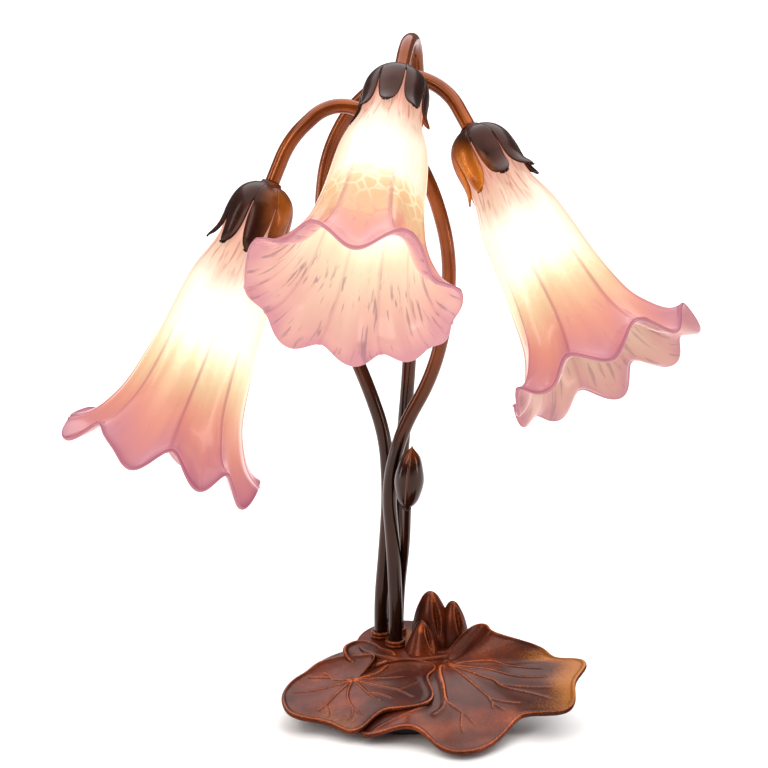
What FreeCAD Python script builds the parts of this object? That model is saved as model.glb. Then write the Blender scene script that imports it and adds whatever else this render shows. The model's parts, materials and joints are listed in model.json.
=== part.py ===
"""Table lamp with three hanging blown-glass flower shades on bent metal stems.

Frame: millimetres, +Z up, +X to the viewer's right, +Y away from the viewer.
The origin is on the table, at the centre of the round base plate's underside.
Each shade has a frame of its own: its origin is the crown of the metal cap, where
the stem ends, and its +Z runs down the shade's axis to the middle of the mouth.
"""
import FreeCAD, Part
import math
import os
import re

import Sketcher

os.makedirs("parts", exist_ok=True)
doc = FreeCAD.newDocument("tulip_shade_lamp")
V = FreeCAD.Vector

# ---------------------------------------------------------------- driving sizes
sizes = {
    # base: felt, weighted plate, and the cast leaves and platform that stand on it
    "felt_thick": 1.5,
    "felt_inset": 2.0,          # felt's edge inside the plate's edge
    "plate_thick": 3.5,
    "plate_radius": 68.0,
    "plate_chamfer": 0.8,
    "cast_wall": 3.2,           # wall of the leaves and of the platform's skirt
    "platform_high": 19.0,      # platform's top above the plate
    "platform_top_wall": 4.0,
    "left_hub_x": -35.0,
    "left_hub_y": -18.0,
    "left_hub_high": 11.0,      # leaf hubs above the plate
    "right_hub_x": 25.0,
    "right_hub_y": -2.0,
    "right_hub_high": 17.0,
    "small_hub_x": -25.0,
    "small_hub_y": 11.0,
    "small_hub_high": 18.0,
    "mound_radius": 67.0,       # low dome under the leaves, over the plate
    "mound_edge": 2.0,
    "mound_rise": 9.0,
    "pillar_radius": 4.6,
    "screw_bore": 3.0,
    "screw_reach": 7.0,         # screw's length in its pillar
    "screw_head": 7.0,
    "screw_gap": 0.1,           # round the screw in the plate
    # cord inlet at the back
    "inlet_high": 7.5,          # its axis above the plate
    "inlet_bore": 5.6,
    "inlet_wall": 1.2,
    "inlet_flange": 13.0,
    "inlet_flange_thick": 1.6,
    "inlet_boss": 14.0,
    "inlet_boss_long": 4.0,
    "inlet_sleeve": 8.0,        # grommet's sleeve, into the platform
    # stems
    "tube_od": 9.0,
    "tube_bore": 6.0,
    "thread_od": 8.0,           # turned-down ends of each tube
    "thread_gap": 0.1,          # round the thread in the holes it goes through
    "foot_thread": 10.0,
    "cap_thread": 13.0,
    "foot_washer_od": 13.6,
    "foot_washer_thick": 1.0,
    "nut_flats": 12.0,
    "nut_thick": 3.0,
    "collar_bead": 1.15,        # radius of a bead of the foot collar
    "collar_wall": 0.9,
    "stalk_od": 6.0,            # the fourth stem, which carries the bud
    "stalk_pin": 3.6,
    "bud_width": 19.0,
    "bud_socket": 4.0,
    "lead_od": 3.6,
    "lead_lift": 0.2,           # between the leads and the plate
    "block_long": 12.0,         # terminal block in the platform's cavity
    "block_wide": 24.0,
    "block_high": 9.0,
    # metal cap over each shade's neck
    "cap_wall": 1.2,
    "cap_gap": 0.5,             # between the cap and the glass neck
    "cap_crown": 2.4,           # crown's flat below the tube's shoulder
    "cap_lip": 6.2,
    "cap_shoulder": 4.5,        # its shoulder and taper, below the crown's flat
    "cap_shoulder_in": 5.0,     # and how far in from the straight part's outside
    "cap_taper": 12.0,
    "cap_taper_in": 0.5,
    "cap_taper_end": 17.0,
    "cap_straight": 38.0,
    "cap_length": 44.0,
    "cap_flare": 2.2,
    "cap_crown_radius": 8.6,
    "cap_round_small": 4.0,
    "cap_round": 7.0,
    "sepals": 8,
    "slit_top": 14.0,
    "slit_half": 0.6,
    "slit_straight": 22.0,
    "slit_mouth_half": 7.2,
    "cap_hole": 1.9,
    "cap_hole_out": 9.6,
    # lampholder, in the shade's frame
    "holder_head": 5.4,         # its head, down to the seat of the glass
    "holder_neck": 18.0,
    "holder_flange": 24.0,
    "holder_flange_thick": 3.0,
    "holder_thread": 20.0,
    "holder_floor": 6.0,        # cavity's floor below the seat
    "holder_length": 27.5,      # holder's end below the seat
    "holder_lead_hole": 4.4,
    "shell_bore": 12.16,
    "shell_wall": 0.4,
    "shell_length": 21.0,
    "contact_od": 6.4,
    "contact_thick": 0.8,
    "contact_button": 3.0,
    "contact_button_high": 1.2,
    "ring_od": 24.4,
    "ring_high": 4.5,
    "ring_gap": 0.05,
    # glass
    "neck_radius": 18.3,
    "glass_wall": 2.6,
    "glass_flange": 3.0,
    "glass_shoulder": 2.6,      # how far the neck rounds in at its flange
    "glass_hole_gap": 0.3,      # round the holder's thread
    "mouth_radius": 60.0,
    "mouth_drop": 166.0,        # mouth below the seat of the glass
    # bulb
    "bulb_cap_od": 12.0,
    "bulb_cap_length": 18.0,
    "bulb_cap_round": 1.0,
    "bulb_tip_high": 1.6,
    "bulb_lift": 0.3,           # between its tip and the contact
    "bulb_radius": 15.0,
    "bulb_glass_length": 52.0,
    "bulb_glass_wall": 0.8,
}

# where each shade hangs: crown of the cap, tilt of the axis from straight down and
# the compass heading of the tilt, counted from +X towards +Y; turn of the sepals
hang = {
    "left": {"crown_x": -82.8, "crown_y": -14.0, "crown_z": 341.5,
             "tilt": 26.3, "heading": -146.6, "turn": 8.0},
    "right": {"crown_x": 36.5, "crown_y": -5.0, "crown_z": 373.5,
              "tilt": 41.4, "heading": -46.7, "turn": 12.0},
    "centre": {"crown_x": -5.0, "crown_y": -17.0, "crown_z": 409.5,
               "tilt": 55.6, "heading": -100.6, "turn": 22.5},
}
for side, values in hang.items():
    for word, value in values.items():
        sizes[side + "_" + word] = value

sheet = doc.addObject("Spreadsheet::Sheet", "Sizes")
for row, (word, value) in enumerate(sizes.items(), start=1):
    sheet.set("A%d" % row, word)
    sheet.set("B%d" % row, str(value))
    sheet.setAlias("B%d" % row, word)
doc.recompute()


def size(word):
    """A driving size, as the sheet holds it."""
    return float(sheet.get(word))


def spell(formula):
    """A formula in the sheet's words, as an expression of the document."""
    return re.sub(r"[a-z][a-z_]+",
                  lambda found: "Sizes." + found[0] if found[0] in sizes else found[0], formula)


def bind(thing, **formulas):
    """Ties properties of one object to formulas of the sheet's words."""
    for name, formula in formulas.items():
        thing.setExpression(name, spell(formula))


# heights that more than one piece uses, as formulas of the sheet's words
GROUND = "felt_thick + plate_thick"
PLATFORM = GROUND + " + platform_high"
NUT_TOP = "cap_crown + cap_wall"
HOLDER_TOP = NUT_TOP + " + nut_thick"
SEAT = HOLDER_TOP + " + holder_head"
FLOOR = SEAT + " + holder_floor"
CAP_OUT = "(neck_radius + cap_gap + cap_wall)"
CONTACT_TOP = FLOOR + " + contact_thick + contact_button_high"
BULB_TIP = CONTACT_TOP + " + bulb_lift"


def worth(formula):
    """The number that a formula of the sheet's words comes to."""
    return float(sheet.evalExpression(formula))


def plane_of(body, role):
    """One of a body's own origin planes, found by its role."""
    return [part for part in body.Origin.OriginFeatures if part.Role == role][0]


def new_sketch(body, name, role):
    """An empty sketch on one of the body's own origin planes."""
    sketch = body.newObject("Sketcher::SketchObject", name)
    sketch.AttachmentSupport = [(plane_of(body, role), "")]
    sketch.MapMode = "FlatFace"
    return sketch


def closed_outline(sketch, corners):
    """Straight sides through corners, each corner tied to a pair of formulas."""
    places = [V(worth(across), worth(along), 0) for across, along in corners]
    count = len(corners)
    for i in range(count):
        sketch.addGeometry(Part.LineSegment(places[i], places[(i + 1) % count]), False)
    for i in range(count):
        sketch.addConstraint(Sketcher.Constraint("Coincident", i, 2, (i + 1) % count, 1))
    for i, (across, along) in enumerate(corners):
        for kind, formula, value in (("DistanceX", across, places[i].x),
                                     ("DistanceY", along, places[i].y)):
            tie = sketch.addConstraint(Sketcher.Constraint(kind, -1, 1, i, 1, value))
            sketch.setExpression("Constraints[%d]" % tie, spell(formula))


def turned(name, corners, place=None):
    """A turned piece: corners give (radius, height) round the body's own Z axis."""
    body = doc.addObject("PartDesign::Body", name)
    sketch = new_sketch(body, name + "_profile", "XZ_Plane")
    closed_outline(sketch, corners)
    doc.recompute()
    turn = body.newObject("PartDesign::Revolution", name + "_turned")
    turn.Profile = sketch
    turn.ReferenceAxis = (sketch, ["V_Axis"])
    turn.Angle = 360
    doc.recompute()
    if place is not None:
        body.Placement = place
    return body


def round_bar(name, radius, height, place=V(0, 0, 0)):
    """A plain cylinder along Z, for booleans."""
    bar = doc.addObject("Part::Cylinder", name)
    bind(bar, Radius=radius, Height=height)
    bar.Placement.Base = place
    return bar


def hex_nut(name, bore):
    """A hexagon nut standing on z = 0, with a plain bore."""
    block = doc.addObject("Part::Prism", name + "_hex")
    block.Polygon = 6
    bind(block, Circumradius="nut_flats / 2 / cos(30)", Height="nut_thick")
    hole = round_bar(name + "_hole", bore, "nut_thick")
    nut = doc.addObject("Part::Cut", name)
    nut.Base = block
    nut.Tool = hole
    return nut


def gather(name, pieces):
    """Several loose solids in one object."""
    group = doc.addObject("Part::Compound", name)
    group.Links = pieces
    return group


nodes = []


def keep(thing, name):
    """Names a finished piece and puts it on the list of files to write."""
    thing.Label = name
    nodes.append(thing)
    return thing


# ---------------------------------------------------------------- base plate and felt
ground = worth(GROUND)
platform_top = worth(PLATFORM)

felt = turned("felt", [
    ("0", "0"),
    ("plate_radius - felt_inset", "0"),
    ("plate_radius - felt_inset", "felt_thick"),
    ("0", "felt_thick")])
keep(felt, "felt_pad")

# screw places under the leaves: (x, y) of the pillars
pillar_places = {"left": (-40.0, -24.0), "front": (2.0, -46.0), "right": (40.0, -14.0)}


def countersunk(body, name, x, y):
    """A screw's way up through the plate, with a cone for its head."""
    way = body.newObject("PartDesign::SubtractiveCylinder", name + "_way")
    bind(way, Radius="screw_bore / 2 + screw_gap", Height=GROUND)
    way.Placement.Base = V(x, y, 0)
    cone = body.newObject("PartDesign::SubtractiveCone", name + "_cone")
    bind(cone, Radius1="screw_head / 2 + screw_gap", Radius2="screw_bore / 2 + screw_gap",
         Height="(screw_head - screw_bore) / 2")
    cone.Placement.Base = V(x, y, size("felt_thick"))
    doc.recompute()


plate = turned("plate", [
    ("0", "felt_thick"),
    ("plate_radius", "felt_thick"),
    ("plate_radius", GROUND + " - plate_chamfer"),
    ("plate_radius - plate_chamfer", GROUND),
    ("0", GROUND)])
for spot, (x, y) in pillar_places.items():
    countersunk(plate, "screw_" + spot, x, y)
keep(plate, "base_plate")


# ---------------------------------------------------------------- cast lily-pad base
# each leaf's edge round its hub: (compass angle, reach, height above the plate's top)
leaf_edges = {
    "left": [(25, 34, 19), (18, 48, 18), (-5, 49, 17), (-29, 58, 16), (-41, 64, 15),
             (-53, 58, 13), (-67, 51, 11), (-78, 56, 8), (-88, 62, 4), (-100, 57, 4.5),
             (-114, 55, 6), (-127, 61, 9), (-139, 57, 11), (-153, 49, 12),
             (-169, 39, 14), (-186, 31, 15), (-208, 27, 17), (-235, 26, 17),
             (-262, 27, 17), (-288, 27, 18), (-306, 23, 18), (-322, 9, 14)],
    "right": [(44, 26, 35), (26, 30, 37), (4, 36, 35), (-5, 51, 33), (-13, 65, 31),
              (-19, 77, 30), (-22, 89, 33), (-30, 97, 31), (-39, 101, 26), (-47, 105, 17),
              (-52, 88, 12), (-58, 82, 9), (-67, 89, 5), (-77, 99, 1.5), (-86, 103, 1),
              (-94, 96, 2), (-101, 87, 7), (-109, 87, 9), (-117, 92, 5), (-125, 94, 2),
              (-133, 76, 5), (-150, 40, 11), (-190, 15, 16), (-250, 13, 19), (-294, 15, 25)],
    "small": [(92, 19, 21), (62, 15, 21), (30, 12, 20.5), (-15, 14, 19.5), (-70, 12, 18),
              (-115, 14, 17.5), (-155, 18, 18.5), (-200, 20, 20), (-240, 19, 21)]}
# rings of a leaf, as shares of its reach, and how far along the rise to its edge each is
leaf_rings = [0.06, 0.25, 0.5, 0.75, 0.92, 1.0]
leaf_bend = 1.7


def closed_curve(points):
    """A smooth closed curve through points."""
    curve = Part.BSplineCurve()
    curve.interpolate(Points=points, PeriodicFlag=True)
    return Part.Wire(curve.toShape())


def leaf_ring(side, share, drop):
    """One ring of a leaf: hub + share * reach, risen by share ** leaf_bend."""
    hub = V(size(side + "_hub_x"), size(side + "_hub_y"), ground + size(side + "_hub_high"))
    rise = ((share - leaf_rings[0]) / (1 - leaf_rings[0])) ** leaf_bend
    ring = []
    for angle, reach, edge in leaf_edges[side]:
        turn = math.radians(angle)
        height = rise * (ground + edge - hub.z) - drop
        ring.append(hub + V(share * reach * math.cos(turn), share * reach * math.sin(turn), height))
    return closed_curve(ring)


def skin(rings):
    """A smooth surface through closed rings."""
    return Part.makeLoft(rings, False, False)


def sewn_solid(faces):
    """A solid from faces that meet edge to edge."""
    shell = Part.makeShell(faces)
    shell.sewShape()
    solid = Part.makeSolid(shell)
    if solid.Volume < 0:
        solid.reverse()
    return solid


def leaf(side):
    """A cast leaf of even wall: a top skin, the same skin lower, and the edge strip."""
    top = [leaf_ring(side, share, 0) for share in leaf_rings]
    under = [leaf_ring(side, share, size("cast_wall")) for share in leaf_rings]
    faces = skin(top).Faces + skin(under).Faces
    faces += Part.makeRuledSurface(top[-1].Edges[0], under[-1].Edges[0]).Faces
    faces += [Part.Face(top[0]), Part.Face(under[0])]
    return sewn_solid(faces)


def leaf_height(side, x, y):
    """Height of a leaf's top skin over a place on the table."""
    hub_x = size(side + "_hub_x")
    hub_y = size(side + "_hub_y")
    hub_z = ground + size(side + "_hub_high")
    turn = math.degrees(math.atan2(y - hub_y, x - hub_x))
    edges = leaf_edges[side]
    first = edges[0][0]
    turn = first - (first - turn) % 360
    ring = edges + [(first - 360, edges[0][1], edges[0][2])]
    for (a0, r0, h0), (a1, r1, h1) in zip(ring, ring[1:]):
        if a1 <= turn <= a0:
            part = (a0 - turn) / (a0 - a1)
            reach = r0 + part * (r1 - r0)
            edge = h0 + part * (h1 - h0)
            share = math.hypot(x - hub_x, y - hub_y) / reach
            rise = max(share - leaf_rings[0], 0) / (1 - leaf_rings[0])
            return hub_z + rise ** leaf_bend * (ground + edge - hub_z)
    raise ValueError("no leaf over this place")


# outline of the platform that the stems and the buds stand on
platform_edge = [(-33, 22), (-31, 42), (-21, 58), (-8, 66), (8, 65), (22, 55), (35, 43), (43, 29),
                 (40, 14), (28, 5), (14, 0), (0, -2), (-14, 2), (-26, 9)]


def inset(points, wall):
    """The points of a closed outline (clockwise from above), each moved square to its
    neighbours' line by the wall's thickness, inwards."""
    moved = []
    for before, point, after in zip(points[-1:] + points[:-1], points, points[1:] + points[:1]):
        along = V(after[0] - before[0], after[1] - before[1], 0).normalize()
        moved.append((point[0] + wall * along.y, point[1] - wall * along.x))
    return moved


def level_block(outline, low, high):
    """A block with a smooth closed outline between two heights."""
    return Part.Face(closed_curve([V(x, y, low) for x, y in outline])).extrude(V(0, 0, high - low))


def platform():
    """A cup, open below, that stands on the base plate."""
    block = level_block(platform_edge, ground, platform_top)
    hollow = level_block(inset(platform_edge, size("cast_wall")), ground,
                         platform_top - size("platform_top_wall"))
    boss = inlet_bar(size("inlet_boss") / 2, size("inlet_boss_long"))
    return block.fuse(boss).cut(hollow)


inlet_x = -8.0
inlet_face = size("plate_radius")       # the boss's flat face, in line with the plate's edge


def inlet_bar(radius, length, out=0):
    """A bar along the cord inlet's axis, ending `out` beyond the boss's flat face."""
    start = V(inlet_x, inlet_face + out - length, ground + size("inlet_high"))
    return Part.makeCylinder(radius, length, start, V(0, 1, 0))


# lily buds on the platform: foot of each, its tip and its width at the foot
buds = [((10.5, 14.5), (10, 15.3, 44.5), 24.0),
        ((17, 28), (14.0, 27.5, 65.5), 27.0),
        ((31, 25), (29.5, 27.0, 53.0), 20.0)]
# half a bud's outline: share of its width against share of its height
bud_outline = [(1.0, 0.0), (0.97, 0.2), (0.8, 0.48), (0.52, 0.74), (0.22, 0.94), (0.0, 1.0)]


def bud(foot, tip, width):
    """A pointed bud turned about the line from its foot to its tip."""
    base = V(foot[0], foot[1], platform_top - size("platform_top_wall") / 2)
    line = V(*tip) - base
    curve = Part.BSplineCurve()
    curve.interpolate(Points=[V(across * width / 2, 0, along * line.Length)
                              for across, along in bud_outline])
    start = curve.value(curve.FirstParameter)
    end = curve.value(curve.LastParameter)
    axis_foot = V(0, 0, 0)
    wire = Part.Wire([Part.LineSegment(axis_foot, start).toShape(), curve.toShape(),
                      Part.LineSegment(end, axis_foot).toShape()])
    solid = Part.Face(wire).revolve(axis_foot, V(0, 0, 1), 360)
    solid.Placement = FreeCAD.Placement(base, FreeCAD.Rotation(V(0, 0, 1), line))
    return solid


def cap_of_sphere(radius, low, rise):
    """A low dome on z = low, of a base radius and a rise."""
    ball = (radius ** 2 + rise ** 2) / (2 * rise)
    sphere = Part.makeSphere(ball, V(0, 0, low + rise - ball))
    return sphere.common(Part.makeCylinder(radius, rise, V(0, 0, low)))


def mound():
    """The casting's body over the plate: a short rim and a low dome, hollow below."""
    radius = size("mound_radius")
    edge = size("mound_edge")
    wall = size("cast_wall")
    outer = Part.makeCylinder(radius, edge, V(0, 0, ground)).fuse(
        cap_of_sphere(radius, ground + edge, size("mound_rise")))
    inner = cap_of_sphere(radius - wall, ground, size("mound_rise") + edge - wall)
    return outer.cut(inner)


# foot places of the four stems on the platform
feet = {"left": (-7.5, 21.0), "right": (-17.0, 36.0), "centre": (-10.0, 53.0), "bud": (-5.0, 41.5)}


def base_casting():
    """Leaves, platform, buds and pillars, fused, then drilled for stems and screws."""
    block = level_block(platform_edge, ground, platform_top)
    body = mound().cut(block).fuse(platform())
    for side in leaf_edges:
        body = body.fuse(leaf(side))
    for foot, tip, width in buds:
        body = body.fuse(bud(foot, tip, width))
    for side, (x, y) in pillar_places.items():
        cover = "left" if side == "left" else "right"
        high = leaf_height(cover, x, y) - size("cast_wall") / 2 - ground
        post = Part.makeCylinder(size("pillar_radius"), high, V(x, y, ground))
        bore = Part.makeCylinder(size("screw_bore") / 2, size("screw_reach"), V(x, y, ground))
        body = body.fuse(post).cut(bore)
    through = 2 * size("platform_top_wall")
    for name, (x, y) in feet.items():
        radius = size("stalk_pin") / 2 if name == "bud" else size("thread_od") / 2
        body = body.cut(Part.makeCylinder(radius + size("thread_gap"), through,
                                          V(x, y, platform_top - through)))
    sleeve = size("inlet_bore") / 2 + size("inlet_wall")
    return body.cut(inlet_bar(sleeve, size("inlet_sleeve") + size("inlet_boss_long"),
                              size("inlet_flange_thick")))


casting = doc.addObject("Part::Feature", "casting")
casting.Shape = base_casting()
keep(casting, "base_casting")


# ---------------------------------------------------------------- fasteners below
screws = []
for spot, (x, y) in pillar_places.items():
    screw = turned("screw_" + spot, [
        ("0", "felt_thick"),
        ("screw_head / 2", "felt_thick"),
        ("screw_bore / 2", "felt_thick + (screw_head - screw_bore) / 2"),
        ("screw_bore / 2", GROUND + " + screw_reach"),
        ("0", GROUND + " + screw_reach")])
    screw.Placement.Base = V(x, y, 0)
    screws.append(screw)
keep(gather("screws", screws), "base_screws")

grommet = turned("grommet", [
    ("inlet_bore / 2", "-inlet_sleeve"),
    ("inlet_bore / 2 + inlet_wall", "-inlet_sleeve"),
    ("inlet_bore / 2 + inlet_wall", "0"),
    ("inlet_flange / 2", "0"),
    ("inlet_flange / 2", "inlet_flange_thick"),
    ("inlet_bore / 2", "inlet_flange_thick")])
grommet.Placement = FreeCAD.Placement(
    V(inlet_x, inlet_face, ground + size("inlet_high")), FreeCAD.Rotation(V(0, 0, 1), V(0, 1, 0)))
keep(grommet, "cord_grommet")


# ---------------------------------------------------------------- stems
def aim(side):
    """Unit vector down a shade's axis: straight down, tilted towards its heading."""
    tilt = math.radians(size(side + "_tilt"))
    heading = math.radians(size(side + "_heading"))
    return V(math.sin(tilt) * math.cos(heading), math.sin(tilt) * math.sin(heading), -math.cos(tilt))


def crown(side):
    """The cap's crown, where the stem's shoulder rests on it."""
    return V(*[size(side + "_crown_" + axis) for axis in "xyz"])


def shade_frame(side, turn=0):
    """Placement of a shade's own frame, turned about its axis."""
    tip = FreeCAD.Rotation(V(0, 1, 0), 180 - size(side + "_tilt"))
    swing = FreeCAD.Rotation(V(0, 0, 1), size(side + "_heading"))
    spin = FreeCAD.Rotation(V(0, 0, 1), turn)
    return FreeCAD.Placement(crown(side), swing * tip * spin)


# corners of each bent stem between its foot and the straight run into its cap
routes = {
    "left": [(-7.5, 21, 58), (-9.3, 21, 95), (-12.5, 20, 134), (-4, 19, 172), (16, 17, 210),
             (25, 15, 251), (26, 13, 292), (15, 11, 333), (-5, 7, 369), (-45, -1, 391)],
    "right": [(-17, 36, 52), (-14, 37, 88), (-12, 37, 123), (-14, 38, 162), (-26, 40, 198),
              (-42, 42, 234), (-52, 40, 272), (-55, 38, 310), (-51, 35, 348), (-34, 29, 382),
              (-4, 18, 404)],
    "centre": [(-10, 53, 60), (-6, 53, 102), (-3, 52, 152), (1, 51, 201), (3, 50, 251),
               (4, 49, 301), (4, 48, 348), (6, 46, 390), (4, 34, 421)],
}
end_runs = {"left": 28.0, "right": 28.0, "centre": 26.0}
bend_share = 0.47               # share of the shorter run that a bend takes up
stalk_route = [(-5, 41.5, 36), (-4, 36, 60), (-1, 21, 95), (-0.5, 6, 126)]
stem_bud_tip = V(2.8, 3.0, 167.0)


def bent_path(corners):
    """Straight runs joined by tangent arcs, as bent tube is."""
    edges = []
    start = corners[0]
    for before, corner, after in zip(corners, corners[1:], corners[2:]):
        come = corner - before
        leave = after - corner
        reach = bend_share * min(come.Length, leave.Length)
        come.normalize()
        leave.normalize()
        half = come.getAngle(leave) / 2
        radius = reach / math.tan(half)
        inward = (leave - come).normalize()
        middle = corner + inward * (radius / math.cos(half) - radius)
        arc_start = corner - come * reach
        arc_end = corner + leave * reach
        edges.append(Part.LineSegment(start, arc_start).toShape())
        edges.append(Part.Arc(arc_start, middle, arc_end).toShape())
        start = arc_end
    edges.append(Part.LineSegment(start, corners[-1]).toShape())
    return Part.Wire(edges)


def swept_bar(name, corners, radius):
    """A round bar along a bent path; its radius is a formula of the sheet's words."""
    path = doc.addObject("Part::Feature", name + "_path")
    path.Shape = bent_path(corners)
    ring = doc.addObject("Part::Circle", name + "_ring")
    bind(ring, Radius=radius)
    ring.Placement = FreeCAD.Placement(corners[0], FreeCAD.Rotation(V(0, 0, 1), corners[1] - corners[0]))
    bar = doc.addObject("Part::Sweep", name)
    bar.Sections = [ring]
    bar.Spine = (path, ["Edge%d" % (i + 1) for i in range(len(path.Shape.Edges))])
    bar.Solid = True
    return bar


def arm_corners(side):
    """Corners of a stem from the platform's top to the crown of its cap."""
    x, y = feet[side]
    end = crown(side)
    return ([V(x, y, platform_top)] + [V(*corner) for corner in routes[side]]
            + [end - aim(side) * end_runs[side], end])


def stretched(corners, below, beyond):
    """The same path with its first and last runs made longer."""
    first = (corners[0] - corners[1]).normalize()
    last = (corners[-1] - corners[-2]).normalize()
    return [corners[0] + first * below] + corners[1:-1] + [corners[-1] + last * beyond]


# leads between the terminal block and the stems' feet, along the plate
block_face = 14.0               # x of the terminal block's face
block_middle = 31.0             # and the y of its middle
lead_tails = {"left": [(block_face, 23), (2, 23)],
              "right": [(block_face, 31), (-4, 31)],
              "centre": [(block_face, 39), (4, 39), (-3, 45)]}


def lead_corners(side):
    """A lead's path: from the terminal block, up the stem and into the lampholder."""
    level = ground + size("lead_lift") + size("lead_od") / 2
    tail = [V(x, y, level) for x, y in lead_tails[side] + [feet[side]]]
    up = stretched(arm_corners(side), 0, worth(FLOOR))
    return tail + up[1:]


def arm(side):
    """A bent tube with a turned-down thread at each end."""
    corners = arm_corners(side)
    outer = swept_bar("arm_outer_" + side, corners, "tube_od / 2")
    foot = round_bar("arm_foot_" + side, "thread_od / 2", "foot_thread")
    first = (corners[0] - corners[1]).normalize()
    foot.Placement = FreeCAD.Placement(corners[0], FreeCAD.Rotation(V(0, 0, 1), first))
    top = round_bar("arm_top_" + side, "thread_od / 2", "cap_thread")
    top.Placement = shade_frame(side)
    whole = doc.addObject("Part::MultiFuse", "arm_whole_" + side)
    whole.Shapes = [outer, foot, top]
    bore = swept_bar("arm_bore_" + side, stretched(corners, size("foot_thread"), size("cap_thread")),
                     "tube_bore / 2")
    tube = doc.addObject("Part::Cut", "arm_" + side)
    tube.Base = whole
    tube.Tool = bore
    return tube


def collar(name, inner, x, y):
    """A foot collar: two beads round a short sleeve, standing on the platform."""
    sleeve = doc.addObject("Part::Cylinder", name + "_sleeve")
    bind(sleeve, Radius=inner + " + collar_wall", Height="4 * collar_bead")
    rings = []
    for i, height in enumerate(("collar_bead", "3 * collar_bead")):
        ring = doc.addObject("Part::Torus", "%s_bead_%d" % (name, i))
        bind(ring, Radius1=inner + " + collar_wall", Radius2="collar_bead")
        ring.setExpression("Placement.Base.z", spell(height))
        rings.append(ring)
    body = doc.addObject("Part::MultiFuse", name + "_body")
    body.Shapes = [sleeve] + rings
    hole = round_bar(name + "_hole", inner, "4 * collar_bead")
    ring = doc.addObject("Part::Cut", name)
    ring.Base = body
    ring.Tool = hole
    ring.Placement.Base = V(x, y, platform_top)
    return ring


sides = ["left", "right", "centre"]
washers = []
foot_nuts = []
for side in sides:
    keep(arm(side), "arm_" + side)
    lead = swept_bar("lead_core_" + side, lead_corners(side), "lead_od / 2")
    keep(lead, "lead_" + side)
    x, y = feet[side]
    keep(collar("collar_part_" + side, "tube_od / 2", x, y), "foot_collar_" + side)
    washer = turned("washer_" + side, [
        ("thread_od / 2 + thread_gap", "0"),
        ("foot_washer_od / 2", "0"),
        ("foot_washer_od / 2", "foot_washer_thick"),
        ("thread_od / 2 + thread_gap", "foot_washer_thick")])
    washer_foot = worth(PLATFORM + " - platform_top_wall - foot_washer_thick")
    washer.Placement.Base = V(x, y, washer_foot)
    washers.append(washer)
    nut = hex_nut("foot_nut_" + side, "thread_od / 2")
    nut.Placement.Base = V(x, y, washer_foot - size("nut_thick"))
    foot_nuts.append(nut)
block = doc.addObject("Part::Box", "terminal_block_body")
bind(block, Length="block_long", Width="block_wide", Height="block_high")
block.Placement.Base = V(block_face, block_middle - size("block_wide") / 2, ground)
keep(block, "terminal_block")
keep(gather("washers", washers), "foot_washers")
keep(gather("foot_nuts_all", foot_nuts), "foot_nuts")

# the fourth stem: a solid stalk pinned into the platform, with a bud on its end
stalk_corners = [V(*feet["bud"], platform_top)] + [V(*corner) for corner in stalk_route]
stalk_bar = swept_bar("stalk_bar", stalk_corners, "stalk_od / 2")
stalk_pin = round_bar("stalk_pin_bar", "stalk_pin / 2", "platform_top_wall")
stalk_pin.Placement = FreeCAD.Placement(
    stalk_corners[0], FreeCAD.Rotation(V(0, 0, 1), (stalk_corners[0] - stalk_corners[1])))
stalk = doc.addObject("Part::MultiFuse", "stalk")
stalk.Shapes = [stalk_bar, stalk_pin]
keep(stalk, "bud_stem")
keep(collar("collar_part_bud", "stalk_od / 2", *feet["bud"]), "foot_collar_bud")

# half the stem bud's outline: share of its width against share of its length
stem_bud_outline = [(0.0, 0.0), (0.5, 0.09), (0.88, 0.27), (1.0, 0.46), (0.86, 0.68), (0.5, 0.88),
                    (0.0, 1.0)]


def stem_bud():
    """A pointed bud turned round the stalk's last run, socketed on the stalk's end."""
    line = (stalk_corners[-1] - stalk_corners[-2]).normalize()
    foot = stalk_corners[-1] - line * size("bud_socket")
    length = (stem_bud_tip - foot).Length
    curve = Part.BSplineCurve()
    curve.interpolate(Points=[V(across * size("bud_width") / 2, 0, along * length)
                              for across, along in stem_bud_outline])
    wire = Part.Wire([curve.toShape(), Part.LineSegment(V(0, 0, length), V(0, 0, 0)).toShape()])
    body = Part.Face(wire).revolve(V(0, 0, 0), V(0, 0, 1), 360)
    body.Placement = FreeCAD.Placement(foot, FreeCAD.Rotation(V(0, 0, 1), stem_bud_tip - foot))
    return body.cut(stalk_bar.Shape)


doc.recompute()
bud_feature = doc.addObject("Part::Feature", "stem_bud_casting")
bud_feature.Shape = stem_bud()
keep(bud_feature, "stem_bud")


# ---------------------------------------------------------------- shades
def circles_at(shape, height, radius):
    """Names of a shape's circular edges at a height and radius."""
    found = []
    for i, edge in enumerate(shape.Edges):
        if (isinstance(edge.Curve, Part.Circle) and abs(edge.Curve.Radius - radius) < 1e-4
                and abs(edge.Curve.Center.z - height) < 1e-4):
            found.append("Edge%d" % (i + 1))
    return found


def round_off(body, base, name, height, radius, amount):
    """Rounds the circular edge at a height and radius (formulas)."""
    fillet = body.newObject("PartDesign::Fillet", name)
    fillet.Base = (base, circles_at(base.Shape, worth(height), worth(radius)))
    bind(fillet, Radius=amount)
    doc.recompute()
    return fillet


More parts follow.
